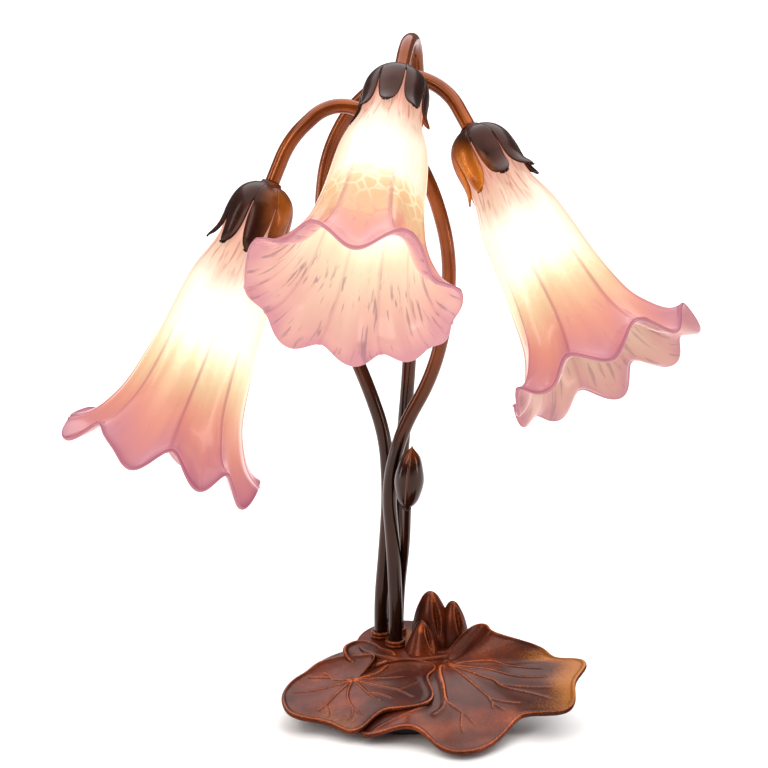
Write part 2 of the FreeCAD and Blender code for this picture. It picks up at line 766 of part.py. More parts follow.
def slit_sketch(body, name):
    """Half-width of a slit against height: narrow, then a quarter bow to the mouth."""
    half = worth("slit_half")
    mouth = worth("slit_mouth_half")
    top = worth("slit_top")
    bend = worth("slit_straight")
    end = worth("cap_length")
    bow = ((end - bend) ** 2 + (mouth - half) ** 2) / (2 * (mouth - half))
    sketch = new_sketch(body, name, "XZ_Plane")
    z_mid = (bend + end) / 2
    x_mid = half + bow - math.sqrt(bow ** 2 - (z_mid - bend) ** 2)
    corners = [(-half, top), (half, top), (half, bend), (mouth, end), (mouth, end + 1),
               (-mouth, end + 1), (-mouth, end), (-half, bend)]
    formulas = [("-slit_half", "slit_top"), ("slit_half", "slit_top"),
                ("slit_half", "slit_straight"), ("slit_mouth_half", "cap_length"),
                ("slit_mouth_half", "cap_length + 1"), ("-slit_mouth_half", "cap_length + 1"),
                ("-slit_mouth_half", "cap_length"), ("-slit_half", "slit_straight")]
    count = len(corners)
    bows = {2: x_mid, 6: -x_mid}    # sides that are arcs; both run clockwise, end first
    for i in range(count):
        here = V(*corners[i], 0)
        there = V(*corners[(i + 1) % count], 0)
        if i in bows:
            line = Part.Arc(here, V(bows[i], z_mid, 0), there)
        else:
            line = Part.LineSegment(here, there)
        sketch.addGeometry(line, False)
    for i in range(count):
        last = 1 if i in bows else 2
        first = 2 if (i + 1) % count in bows else 1
        sketch.addConstraint(Sketcher.Constraint("Coincident", i, last, (i + 1) % count, first))
    for i, (across, along) in enumerate(formulas):
        start = 2 if i in bows else 1
        for kind, formula, value in (("DistanceX", across, corners[i][0]),
                                     ("DistanceY", along, corners[i][1])):
            tie = sketch.addConstraint(Sketcher.Constraint(kind, -1, 1, i, start, value))
            sketch.setExpression("Constraints[%d]" % tie, spell(formula))
    for i in bows:
        tie = sketch.addConstraint(Sketcher.Constraint("Radius", i, bow))
        sketch.setExpression("Constraints[%d]" % tie, spell(
            "((cap_length - slit_straight)^2 + (slit_mouth_half - slit_half)^2)"
            " / (2 * (slit_mouth_half - slit_half))"))
    doc.recompute()
    return sketch


def cap(side):
    """The metal cap: a turned cup, shelled, slit into sepals and bored for the stem."""
    name = "cap_" + side
    body = doc.addObject("PartDesign::Body", name)
    sketch = new_sketch(body, name + "_profile", "XZ_Plane")
    shoulder = (CAP_OUT + " - cap_shoulder_in", "cap_crown + cap_shoulder")
    upper = (CAP_OUT + " - cap_taper_in", "cap_crown + cap_taper")
    closed_outline(sketch, [
        ("0", "cap_crown"),
        ("cap_crown_radius", "cap_crown"),
        shoulder,
        upper,
        (CAP_OUT, "cap_crown + cap_taper_end"),
        (CAP_OUT, "cap_straight"),
        (CAP_OUT + " + cap_flare", "cap_length"),
        ("0", "cap_length")])
    doc.recompute()
    cup = body.newObject("PartDesign::Revolution", name + "_cup")
    cup.Profile = sketch
    cup.ReferenceAxis = (sketch, ["V_Axis"])
    cup.Angle = 360
    doc.recompute()
    cup = round_off(body, cup, name + "_round_a", "cap_crown", "cap_crown_radius", "cap_round_small")
    cup = round_off(body, cup, name + "_round_b", shoulder[1], shoulder[0], "cap_round")
    cup = round_off(body, cup, name + "_round_c", upper[1], upper[0], "cap_round")
    mouth = [i for i, face in enumerate(cup.Shape.Faces)
             if abs(face.CenterOfMass.z - worth("cap_length")) < 1e-4]
    thin = body.newObject("PartDesign::Thickness", name + "_shell")
    thin.Base = (cup, ["Face%d" % (mouth[0] + 1)])
    bind(thin, Value="cap_wall")
    thin.Reversed = True
    thin.Join = 1
    doc.recompute()
    slit = body.newObject("PartDesign::Pocket", name + "_slit")
    slit.Profile = slit_sketch(body, name + "_slit_sketch")
    slit.Type = "ThroughAll"
    doc.recompute()
    ring = body.newObject("PartDesign::PolarPattern", name + "_slits")
    ring.Originals = [slit]
    ring.Axis = (slit.Profile[0], ["V_Axis"])
    ring.Angle = 360
    bind(ring, Occurrences="sepals")
    body.Tip = ring
    doc.recompute()
    lip = body.newObject("PartDesign::AdditiveCylinder", name + "_lip")
    bind(lip, Radius="cap_lip", Height="cap_crown + cap_wall / 2")
    bore = body.newObject("PartDesign::SubtractiveCylinder", name + "_bore")
    bind(bore, Radius="thread_od / 2 + thread_gap", Height="cap_crown + 2 * cap_wall")
    hole = body.newObject("PartDesign::SubtractiveCylinder", name + "_hole")
    bind(hole, Radius="cap_hole / 2", Height="cap_crown + 4 * cap_wall")
    hole.Placement.Base = V(size("cap_hole_out"), 0, 0)
    doc.recompute()
    body.Placement = shade_frame(side, size(side + "_turn"))
    return body


def lampholder(side):
    """A turned lampholder: head on the stem's thread, flange, thread and bulb cavity."""
    return turned("holder_" + side, [
        ("thread_od / 2", HOLDER_TOP),
        ("holder_neck / 2", HOLDER_TOP),
        ("holder_neck / 2", SEAT + " - holder_flange_thick"),
        ("holder_flange / 2", SEAT + " - holder_flange_thick"),
        ("holder_flange / 2", SEAT),
        ("holder_thread / 2", SEAT),
        ("holder_thread / 2", SEAT + " + holder_length"),
        ("shell_bore / 2 + shell_wall", SEAT + " + holder_length"),
        ("shell_bore / 2 + shell_wall", FLOOR),
        ("holder_lead_hole / 2", FLOOR),
        ("holder_lead_hole / 2", "cap_thread"),
        ("thread_od / 2", "cap_thread")], shade_frame(side))


def screw_shell(side):
    """The brass shell that takes the bulb's thread, with an open floor."""
    return turned("shell_" + side, [
        ("contact_od / 2 + 2 * shell_wall", FLOOR),
        ("shell_bore / 2 + shell_wall", FLOOR),
        ("shell_bore / 2 + shell_wall", FLOOR + " + shell_length"),
        ("shell_bore / 2", FLOOR + " + shell_length"),
        ("shell_bore / 2", FLOOR + " + shell_wall"),
        ("contact_od / 2 + 2 * shell_wall", FLOOR + " + shell_wall")], shade_frame(side))


def contact(side):
    """The centre contact: a disc with a button that the bulb's tip presses on."""
    return turned("contact_" + side, [
        ("0", FLOOR),
        ("contact_od / 2", FLOOR),
        ("contact_od / 2", FLOOR + " + contact_thick"),
        ("contact_button / 2", FLOOR + " + contact_thick"),
        ("contact_button / 2", CONTACT_TOP),
        ("0", CONTACT_TOP)], shade_frame(side))


def shade_ring(side):
    """The threaded ring that clamps the glass against the lampholder's flange."""
    low = SEAT + " + glass_flange"
    return turned("ring_" + side, [
        ("holder_thread / 2 + ring_gap", low),
        ("ring_od / 2", low),
        ("ring_od / 2", low + " + ring_high"),
        ("holder_thread / 2 + ring_gap", low + " + ring_high")], shade_frame(side))


def bulb_cap(side):
    """The bulb's screw cap with its tip, closed where the glass stands on it."""
    top = BULB_TIP + " + bulb_cap_length"
    return turned("bulb_cap_" + side, [
        ("0", BULB_TIP),
        ("contact_button / 2", BULB_TIP),
        ("bulb_cap_od / 2 - bulb_cap_round", BULB_TIP + " + bulb_tip_high"),
        ("bulb_cap_od / 2", BULB_TIP + " + bulb_tip_high + bulb_cap_round"),
        ("bulb_cap_od / 2", top),
        ("0", top)], shade_frame(side))


# half a candle bulb's outline: share of its radius against share of its length
bulb_outline = [(0.36, 0.0), (0.45, 0.1), (0.78, 0.26), (1.0, 0.46), (0.88, 0.68),
                (0.5, 0.87), (0.16, 0.97), (0.0, 1.0)]


def bulb_glass(side):
    """The bulb's hollow glass, turned from an outer and an inner outline."""
    foot = worth(BULB_TIP + " + bulb_cap_length")
    wall = size("bulb_glass_wall")
    curves = []
    for radius, low, length in ((size("bulb_radius"), foot, size("bulb_glass_length")),
                                (size("bulb_radius") - wall, foot + wall,
                                 size("bulb_glass_length") - 2 * wall)):
        curve = Part.BSplineCurve()
        curve.interpolate(Points=[V(across * radius, 0, low + along * length)
                                  for across, along in bulb_outline])
        curves.append(curve)
    solids = []
    for curve in curves:
        start = curve.value(curve.FirstParameter)
        end = curve.value(curve.LastParameter)
        middle = V(0, 0, start.z)
        wire = Part.Wire([Part.LineSegment(middle, start).toShape(), curve.toShape(),
                          Part.LineSegment(end, middle).toShape()])
        solids.append(Part.Face(wire).revolve(V(0, 0, 0), V(0, 0, 1), 360))
    glass = doc.addObject("Part::Feature", "bulb_glass_part_" + side)
    glass.Shape = solids[0].cut(solids[1])
    glass.Placement = shade_frame(side)
    return glass


# ruffled rim of each shade, seen from its crown: (angle from the uphill side, reach
# beyond the mouth's radius, drop beyond the mouth's); crests and dips as blown
rims = {
    "left": [(16, 3, -5), (36, 1, -3), (54, 4, 2), (69, 5, 8), (82, 0, -7), (97, 4, 6),
             (111, 1, -3), (122, -1, -9), (134, 4, 7), (149, 3, 3), (162, 1, -4),
             (171, -1, -7), (182, 3, 6), (195, 5, 8), (212, 2, 0), (228, 3, -3),
             (250, 0, -8), (270, 5, 6), (292, 0, -7), (315, 5, 6), (337, 0, -6),
             (357, 4, 3)],
    "right": [(1, 0, -5), (14, 0, -6), (27, -5, -15), (40, 0, -5), (53, 1, -2),
             (66, -5, -15), (79, 0, -4), (93, 1, -1), (109, -3, -9), (124, 1, -3),
             (141, 2, -7), (157, 2, -14), (173, 0, 1), (188, -3, -12), (203, -3, -9),
             (220, -1, 2), (241, -3, -13), (257, -3, -3), (270, 0, -6), (281, 0, -14),
             (294, 0, -4), (312, -4, -13), (331, 0, -4), (346, -3, -9)],
    "centre": [(10, -5, -6), (23, 0, -2), (43, -2, -3), (56, -1, 0), (72, -3, -1),
             (86, 0, 0), (101, 2, 0), (118, -4, 6), (132, 0, 2), (150, 4, -4),
             (164, -3, 7), (179, -3, 7), (195, 4, -2), (210, 1, 4), (229, 6, -3),
             (247, 3, 0), (262, 1, 2), (276, 0, -2), (290, -3, -4), (306, 1, -1),
             (320, 1, -1), (331, -4, -7), (344, 0, -4), (357, 1, -2)],
}
# outer outline of the glass: (share of the drop to the mouth, share of the way from
# the neck's radius to the mouth's)
glass_outline = [(0.05, -0.024), (0.11, 0.0), (0.16, 0.005), (0.22, 0.055), (0.30, 0.156),
                 (0.40, 0.223), (0.56, 0.285), (0.71, 0.372), (0.81, 0.46), (0.89, 0.592),
                 (0.95, 0.76), (1.0, 1.0)]
ruffle_start = 0.5              # share of the drop where the ruffles begin


def glass_section(side, drop, radius, flow):
    """One ring of a shade's skin; flow is the growth of the ruffles there, 0 to 1."""
    points = []
    for angle, reach, low in rims[side]:
        turn = math.radians(angle)
        out = radius + flow * reach
        down = worth(SEAT) + drop + flow * low
        points.append(V(out * math.cos(turn), out * math.sin(turn), down))
    return closed_curve(points)


def glass_shade(side):
    """Blown glass of even wall: neck flange, outer and inner skins, and the rim."""
    seat = worth(SEAT)
    wall = size("glass_wall")
    flange = size("glass_flange")
    neck = size("neck_radius")
    mouth = size("mouth_radius")
    hole = size("holder_thread") / 2 + size("glass_hole_gap")
    foot = neck - size("glass_shoulder")
    outline = [(0.0, foot)] + [(down * size("mouth_drop"), neck + out * (mouth - neck))
                               for down, out in glass_outline]
    outer = [glass_section(side, 0.0, foot, 0.0)]
    inner = [glass_section(side, flange, foot - wall, 0.0)]
    for i in range(1, len(outline)):
        drop, radius = outline[i]
        before = outline[i - 1]
        after = outline[min(i + 1, len(outline) - 1)]
        along = V(after[1] - before[1], 0, after[0] - before[0]).normalize()
        share = drop / size("mouth_drop") - ruffle_start
        flow = (max(share, 0) / (1 - ruffle_start)) ** 2
        outer.append(glass_section(side, drop, radius, flow))
        inner.append(glass_section(side, drop + wall * along.x, radius - wall * along.z, flow))
    faces = skin(outer).Faces + skin(inner).Faces
    faces += Part.makeRuledSurface(outer[-1].Edges[0], inner[-1].Edges[0]).Faces
    eyes = [Part.makeCircle(hole, V(0, 0, height)) for height in (seat, seat + flange)]
    for ring, eye in ((outer[0], eyes[0]), (inner[0], eyes[1])):
        faces += Part.makeFace([ring, Part.Wire(eye)], "Part::FaceMakerBullseye").Faces
    faces += Part.makeRuledSurface(eyes[0], eyes[1]).Faces
    glass = doc.addObject("Part::Feature", "glass_" + side)
    glass.Shape = sewn_solid(faces)
    glass.Placement = shade_frame(side)
    return glass


for side in sides:
    keep(cap(side), "sepal_cap_" + side)
    nut = hex_nut("cap_nut_" + side, "thread_od / 2")
    nut.Placement = shade_frame(side) * FreeCAD.Placement(V(0, 0, worth(NUT_TOP)), FreeCAD.Rotation())
    keep(nut, "cap_locknut_" + side)
    keep(lampholder(side), "lampholder_" + side)
    keep(screw_shell(side), "screw_shell_" + side)
    keep(contact(side), "contact_" + side)
    keep(glass_shade(side), "glass_shade_" + side)
    keep(shade_ring(side), "shade_ring_" + side)
    keep(bulb_cap(side), "bulb_base_" + side)
    keep(bulb_glass(side), "bulb_glass_" + side)

doc.recompute()
faults = [thing.Name for thing in doc.Objects
          if "Invalid" in thing.State or "Error" in thing.State]
faults += [thing.Label for thing in nodes if thing.Shape.isNull() or not thing.Shape.isValid()]
if faults:
    raise SystemExit("not sound: " + ", ".join(faults))
for thing in nodes:
    thing.Shape.exportStep("parts/%s.step" % thing.Label)
    print("%-22s %9.0f mm3" % (thing.Label, thing.Shape.Volume))
print(len(nodes), "nodes")
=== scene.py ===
import bpy
import json
import math
import numpy as np
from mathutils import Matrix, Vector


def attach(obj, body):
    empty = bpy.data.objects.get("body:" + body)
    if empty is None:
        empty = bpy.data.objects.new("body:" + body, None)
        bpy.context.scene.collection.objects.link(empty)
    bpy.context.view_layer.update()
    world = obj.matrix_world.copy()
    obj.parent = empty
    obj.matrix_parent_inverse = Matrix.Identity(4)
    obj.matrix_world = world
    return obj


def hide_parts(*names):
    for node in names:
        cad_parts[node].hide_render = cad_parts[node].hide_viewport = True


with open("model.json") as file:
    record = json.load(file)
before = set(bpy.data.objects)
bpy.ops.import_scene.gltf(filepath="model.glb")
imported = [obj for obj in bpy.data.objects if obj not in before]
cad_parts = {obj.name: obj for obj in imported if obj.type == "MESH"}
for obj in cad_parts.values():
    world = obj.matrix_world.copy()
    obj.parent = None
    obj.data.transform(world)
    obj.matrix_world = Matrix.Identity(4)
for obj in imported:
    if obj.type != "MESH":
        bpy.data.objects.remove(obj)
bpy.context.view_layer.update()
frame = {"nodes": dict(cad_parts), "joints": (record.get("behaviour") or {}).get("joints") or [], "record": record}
nodes = frame["nodes"]
mm = 0.001
sides = ["left", "right", "centre"]
fullTurn = 2 * math.pi
print("frame loaded:", len(nodes), "CAD nodes")


# small tools

def splineThrough(knots, values, at, period=0):
    # a cubic spline through (knots, values); with a period its ends meet
    x = np.array(knots, float)
    y = np.array(values, float)
    if period:
        x = np.concatenate([x - period, x, x + period])
        y = np.concatenate([y, y, y])
    step = np.diff(x)
    slope = np.diff(y) / step
    pull = np.eye(len(x))
    load = np.zeros(len(x))
    inner = np.arange(1, len(x) - 1)
    pull[inner, inner - 1] = step[:-1]
    pull[inner, inner] = 2 * (step[:-1] + step[1:])
    pull[inner, inner + 1] = step[1:]
    load[inner] = 6 * np.diff(slope)
    bend = np.linalg.solve(pull, load)
    at = np.asarray(at, float)
    k = np.clip(np.searchsorted(x, at) - 1, 0, len(x) - 2)
    ahead = at - x[k]
    behind = x[k + 1] - at
    h = step[k]
    return ((bend[k] * behind ** 3 + bend[k + 1] * ahead ** 3) / (6 * h)
            + (y[k] / h - bend[k] * h / 6) * behind + (y[k + 1] / h - bend[k + 1] * h / 6) * ahead)


def hump(distance, width):
    # a soft ridge: the bell curve of the distance over the width
    return np.exp(-(distance / width) ** 2)


def smooth(value, low, high):
    # rises from 0 at low to 1 at high with level ends
    share = np.clip((value - low) / (high - low), 0, 1)
    return share * share * (3 - 2 * share)


def ripple(x, y, seed):
    # a gentle uneven wave: four sines of mixed lengths and turns, about -1 to 1
    luck = np.random.default_rng(seed)
    total = 0
    for i in range(4):
        turn = luck.uniform(0, fullTurn)
        length = luck.uniform(0.6, 1.6)
        total = total + np.sin(length * (x * math.cos(turn) + y * math.sin(turn)) + luck.uniform(0, 6))
    return total / 2.4


def unit(vectors):
    # the same directions, each of length 1
    return vectors / np.linalg.norm(vectors, axis=-1, keepdims=True)


def gridPiece(name, points, body, material, replaced=(), ring=True, ends=(None, None),
              loop=False, marks=None):
    # a smooth skin over a grid of points (rows, columns, xyz) in mm; ring joins the last
    # column to the first, loop the last row to the first, and each end that is a point
    # closes its row with a fan. marks are numbers or vectors kept at each point
    rows, columns = points.shape[:2]
    index = np.arange(rows * columns).reshape(rows, columns)
    across = np.concatenate([index, index[:, :1]], 1) if ring else index
    both = np.concatenate([across, across[:1]], 0) if loop else across
    quads = np.stack([both[:-1, :-1], both[:-1, 1:], both[1:, 1:], both[1:, :-1]], -1).reshape(-1, 4)
    corners = [points.reshape(-1, 3)]
    fans = []
    for end, row, turned in ((ends[0], across[0], False), (ends[1], across[-1], True)):
        if end is not None:
            middle = rows * columns + len(corners) - 1
            corners.append(np.array(end, float).reshape(1, 3))
            a, b = (row[1:], row[:-1]) if not turned else (row[:-1], row[1:])
            fans.append(np.stack([a, b, np.full(len(a), middle)], -1))
    corners = np.concatenate(corners) * mm
    triangles = np.concatenate(fans) if fans else np.zeros((0, 3), int)
    if volumeOf(corners, quads, triangles) < 0:
        quads = quads[:, ::-1]
        triangles = triangles[:, ::-1]
    mesh = bpy.data.meshes.new(name)
    mesh.from_pydata(corners.tolist(), [], quads.tolist() + triangles.tolist())
    mesh.update()
    mesh.polygons.foreach_set("use_smooth", np.ones(len(mesh.polygons), bool))
    for word, values in (marks or {}).items():
        values = np.broadcast_to(values, points.shape[:2] + np.shape(values)[2:])
        flat = values.reshape(rows * columns, -1)
        more = len(corners) - len(flat)
        flat = np.concatenate([flat, np.repeat(flat[-1:], more, 0)]) if more else flat
        kind = "FLOAT_VECTOR" if flat.shape[1] == 3 else "FLOAT"
        field = mesh.attributes.new(word, kind, "POINT")
        field.data.foreach_set("vector" if kind == "FLOAT_VECTOR" else "value",
                               np.ascontiguousarray(flat, np.float32).ravel())
    piece = bpy.data.objects.new(name, mesh)
    bpy.context.scene.collection.objects.link(piece)
    mesh.materials.append(material)
    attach(piece, body)
    if replaced:
        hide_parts(*replaced)
    return piece


def volumeOf(corners, quads, triangles):
    # signed volume: the sum of the tetrahedra between each face and the origin
    parts = [quads[:, [0, 1, 2]], quads[:, [0, 2, 3]], triangles]
    faces = np.concatenate([part for part in parts if len(part)])
    a, b, c = corners[faces[:, 0]], corners[faces[:, 1]], corners[faces[:, 2]]
    return np.einsum("ij,ij->i", a, np.cross(b, c)).sum()


def addNode(tree, kind, values=None, links=None, **settings):
    # one shader node with its settings, its own values and what is linked into it
    node = tree.nodes.new(kind)
    for word, value in settings.items():
        setattr(node, word, value)
    for word, value in (values or {}).items():
        node.inputs[word].default_value = value
    for word, source in (links or {}).items():
        tree.links.new(source, node.inputs[word])
    return node


def colour(code):
    # an sRGB hex code as linear light, with full cover
    parts = np.array([int(code[i:i + 2], 16) for i in (0, 2, 4)]) / 255
    linear = np.where(parts <= 0.04045, parts / 12.92, ((parts + 0.055) / 1.055) ** 2.4)
    return (*linear.tolist(), 1.0)


def newMaterial(name):
    # an empty node material with its Principled shader
    material = bpy.data.materials.new(name)
    material.use_nodes = True
    tree = material.node_tree
    return material, tree, tree.nodes["Principled BSDF"]


def rampNode(tree, source, stops):
    # colours along a number: pairs of (place, hex code)
    ramp = addNode(tree, "ShaderNodeValToRGB", links={"Fac": source})
    elements = ramp.color_ramp.elements
    while len(elements) < len(stops):
        elements.new(0.5)
    for element, (place, code) in zip(elements, stops):
        element.position = place
        element.color = colour(code)
    return ramp.outputs["Color"]


def mixNode(tree, share, first, second, kind="MIX"):
    # mixes two colours; share, first and second are sockets or values
    node = addNode(tree, "ShaderNodeMix", data_type="RGBA", blend_type=kind)
    for socket, value in ((node.inputs[0], share), (node.inputs[6], first), (node.inputs[7], second)):
        if isinstance(value, bpy.types.NodeSocket):
            tree.links.new(value, socket)
        else:
            socket.default_value = value
    return node.outputs[2]


def mathNode(tree, operation, first, second=0.0):
    # one sum, product or other operation on two sockets or numbers
    node = addNode(tree, "ShaderNodeMath", operation=operation)
    for socket, value in zip(node.inputs[:2], (first, second)):
        if isinstance(value, bpy.types.NodeSocket):
            tree.links.new(value, socket)
        else:
            socket.default_value = value
    return node.outputs[0]


def rangeNode(tree, source, low, high, least=0.0, most=1.0):
    # a number's range taken to another, with level ends
    return addNode(tree, "ShaderNodeMapRange", {"From Min": low, "From Max": high, "To Min": least,
                   "To Max": most}, {"Value": source}, interpolation_type="SMOOTHSTEP").outputs[0]


def markOf(tree, word):
    # a number kept at each point of the piece
    return addNode(tree, "ShaderNodeAttribute", attribute_name=word).outputs["Fac"]


# shapes that both tools share, in mm

shade = {"seat": 12.0, "tipPlace": 20.3, "neckRadius": 18.3, "neckIn": 2.6, "mouthRadius": 60.0,
         "mouthDrop": 166.0, "wall": 2.6, "flange": 3.0, "eye": 10.3, "ruffleStart": 0.5,
         "outline": [(0.05, -0.024), (0.11, 0.0), (0.16, 0.005), (0.22, 0.055), (0.30, 0.156),
                     (0.40, 0.223), (0.56, 0.285), (0.71, 0.372), (0.81, 0.46), (0.89, 0.592),
                     (0.95, 0.76), (1.0, 1.0)]}


def shadeFrame(side):
    # the shade's own axes: crown of the cap, then under side, across, and down the axis
    joint = [j for j in frame["joints"] if j["name"] == "bulb_%s_turn" % side][0]
    down = unit(np.array(joint["axis"], float))
    crown = np.array(joint["pos_m"]) / mm - down * shade["tipPlace"]
    heading = math.atan2(down[1], down[0])
    across = np.array([-math.sin(heading), math.cos(heading), 0.0])
    return crown, np.cross(across, down), across, down


def placedInShade(side, local):
    # points of a shade's own axes, in the lamp's
    crown, under, across, down = shadeFrame(side)
    return crown + local[..., :1] * under + local[..., 1:2] * across + local[..., 2:] * down


# materials

def bronzeCast():
    # zinc casting with a mahogany bronze lacquer, rubbed through to copper on its edges
    # and veins: warm red brown, soft gloss, copper lines and a gold bloom at one rim; the
    # same copper also paints a highlight on one side of the front bud's tip
    material, tree, shader = newMaterial("mahogany bronze lacquer on cast zinc")
    place = addNode(tree, "ShaderNodeTexCoord").outputs["Object"]
    rubAndGlint = markOf(tree, "rubAndGlint")
    gild = markOf(tree, "gild")
    # brown patches about 30 mm wide, darker ones of 70 mm, and a grain of 1 mm
    cloud = addNode(tree, "ShaderNodeTexNoise", {"Scale": 1 / 0.030, "Detail": 5.0},
                    {"Vector": place}).outputs["Fac"]
    darkPatches = addNode(tree, "ShaderNodeTexNoise", {"Scale": 1 / 0.070, "Detail": 2.0},
                     {"Vector": place}).outputs["Fac"]
    grain = addNode(tree, "ShaderNodeTexNoise", {"Scale": 1 / 0.0010, "Detail": 3.0},
                    {"Vector": place}).outputs["Fac"]
    mixed = mathNode(tree, "ADD", cloud, mathNode(
        tree, "MULTIPLY", mathNode(tree, "SUBTRACT", grain, 0.5), 0.35))
    body = rampNode(tree, mixed, [(0.30, "2c0f08"), (0.48, "521e0e"), (0.60, "702d14"), (0.72, "8c421e")])
    body = mixNode(tree, rangeNode(tree, darkPatches, 0.46, 0.62, 0.0, 0.85), body, colour("2a0e0b"))
    warm = rampNode(tree, cloud, [(0.30, "98421a"), (0.70, "c86a30")])
    uneven = mathNode(tree, "MULTIPLY", mathNode(tree, "SUBTRACT", grain, 0.5), 0.9)
    edge = rangeNode(tree, mathNode(tree, "ADD", rubAndGlint, uneven), 0.25, 1.0)
    bloom = rangeNode(tree, mathNode(tree, "ADD", gild, uneven), 0.15, 1.1, 0.0, 0.8)
    base = mixNode(tree, edge, body, warm)
    base = mixNode(tree, bloom, base, colour("a8682c"))
    tree.links.new(base, shader.inputs["Base Color"])
    shader.inputs["Metallic"].default_value = 0.35
    shader.inputs["Specular Tint"].default_value = colour("d88a62")
    tree.links.new(rangeNode(tree, mixed, 0.3, 0.7, 0.42, 0.32), shader.inputs["Roughness"])
    shader.inputs["Coat Weight"].default_value = 0.16
    shader.inputs["Coat Roughness"].default_value = 0.2
    bump = addNode(tree, "ShaderNodeBump", {"Strength": 0.16, "Distance": 0.0003}, {"Height": grain})
    tree.links.new(bump.outputs["Normal"], shader.inputs["Normal"])
    return material


def bronzeTube():
    # bent steel tube, brown lacquer over a bronze plate: long clean highlights, and painted
    # light: a lit copper colour mixed in where the shades would light it
    material, tree, shader = newMaterial("brown bronze lacquer on steel tube")
    place = addNode(tree, "ShaderNodeTexCoord").outputs["Object"]
    glow = markOf(tree, "warm")
    # slow drift of the lacquer's depth, about 30 mm long
    drift = addNode(tree, "ShaderNodeTexNoise", {"Scale": 1 / 0.03, "Detail": 2.0}, {"Vector": place})
    dark = rampNode(tree, drift.outputs["Fac"], [(0.3, "140906"), (0.7, "291109")])
    lit = rampNode(tree, drift.outputs["Fac"], [(0.3, "74310c"), (0.7, "9c4c14")])
    # painted light: the warm mark mixes the lit colours over the dark ones
    tree.links.new(mixNode(tree, glow, dark, lit), shader.inputs["Base Color"])
    shader.inputs["Metallic"].default_value = 0.35
    shader.inputs["Specular Tint"].default_value = colour("c07850")
    shader.inputs["Roughness"].default_value = 0.24
    shader.inputs["Coat Weight"].default_value = 0.4
    shader.inputs["Coat Roughness"].default_value = 0.06
    return material


def bronzeSheet():
    # pressed steel sheet, the same lacquer: near black on top, and painted light: a lit
    # amber colour mixed in where a shade shines on it
    material, tree, shader = newMaterial("brown bronze lacquer on pressed sheet")
    place = addNode(tree, "ShaderNodeTexCoord").outputs["Object"]
    glow = markOf(tree, "warm")
    cloud = addNode(tree, "ShaderNodeTexNoise", {"Scale": 1 / 0.012, "Detail": 3.0}, {"Vector": place})
    dark = rampNode(tree, cloud.outputs["Fac"], [(0.3, "190a08"), (0.7, "30130d")])
    lit = rampNode(tree, cloud.outputs["Fac"], [(0.3, "96420f"), (0.7, "d07a22")])
    # painted light: the warm mark mixes the lit colours over the dark ones
    tree.links.new(mixNode(tree, glow, dark, lit), shader.inputs["Base Color"])
    shader.inputs["Metallic"].default_value = 0.3
    shader.inputs["Specular Tint"].default_value = colour("b87860")
    shader.inputs["Roughness"].default_value = 0.34
    shader.inputs["Coat Weight"].default_value = 0.14
    shader.inputs["Coat Roughness"].default_value = 0.14
    dents = addNode(tree, "ShaderNodeBump", {"Strength": 0.15, "Distance": 0.0008},
                    {"Height": cloud.outputs["Fac"]})
    tree.links.new(dents.outputs["Normal"], shader.inputs["Normal"])
    return material


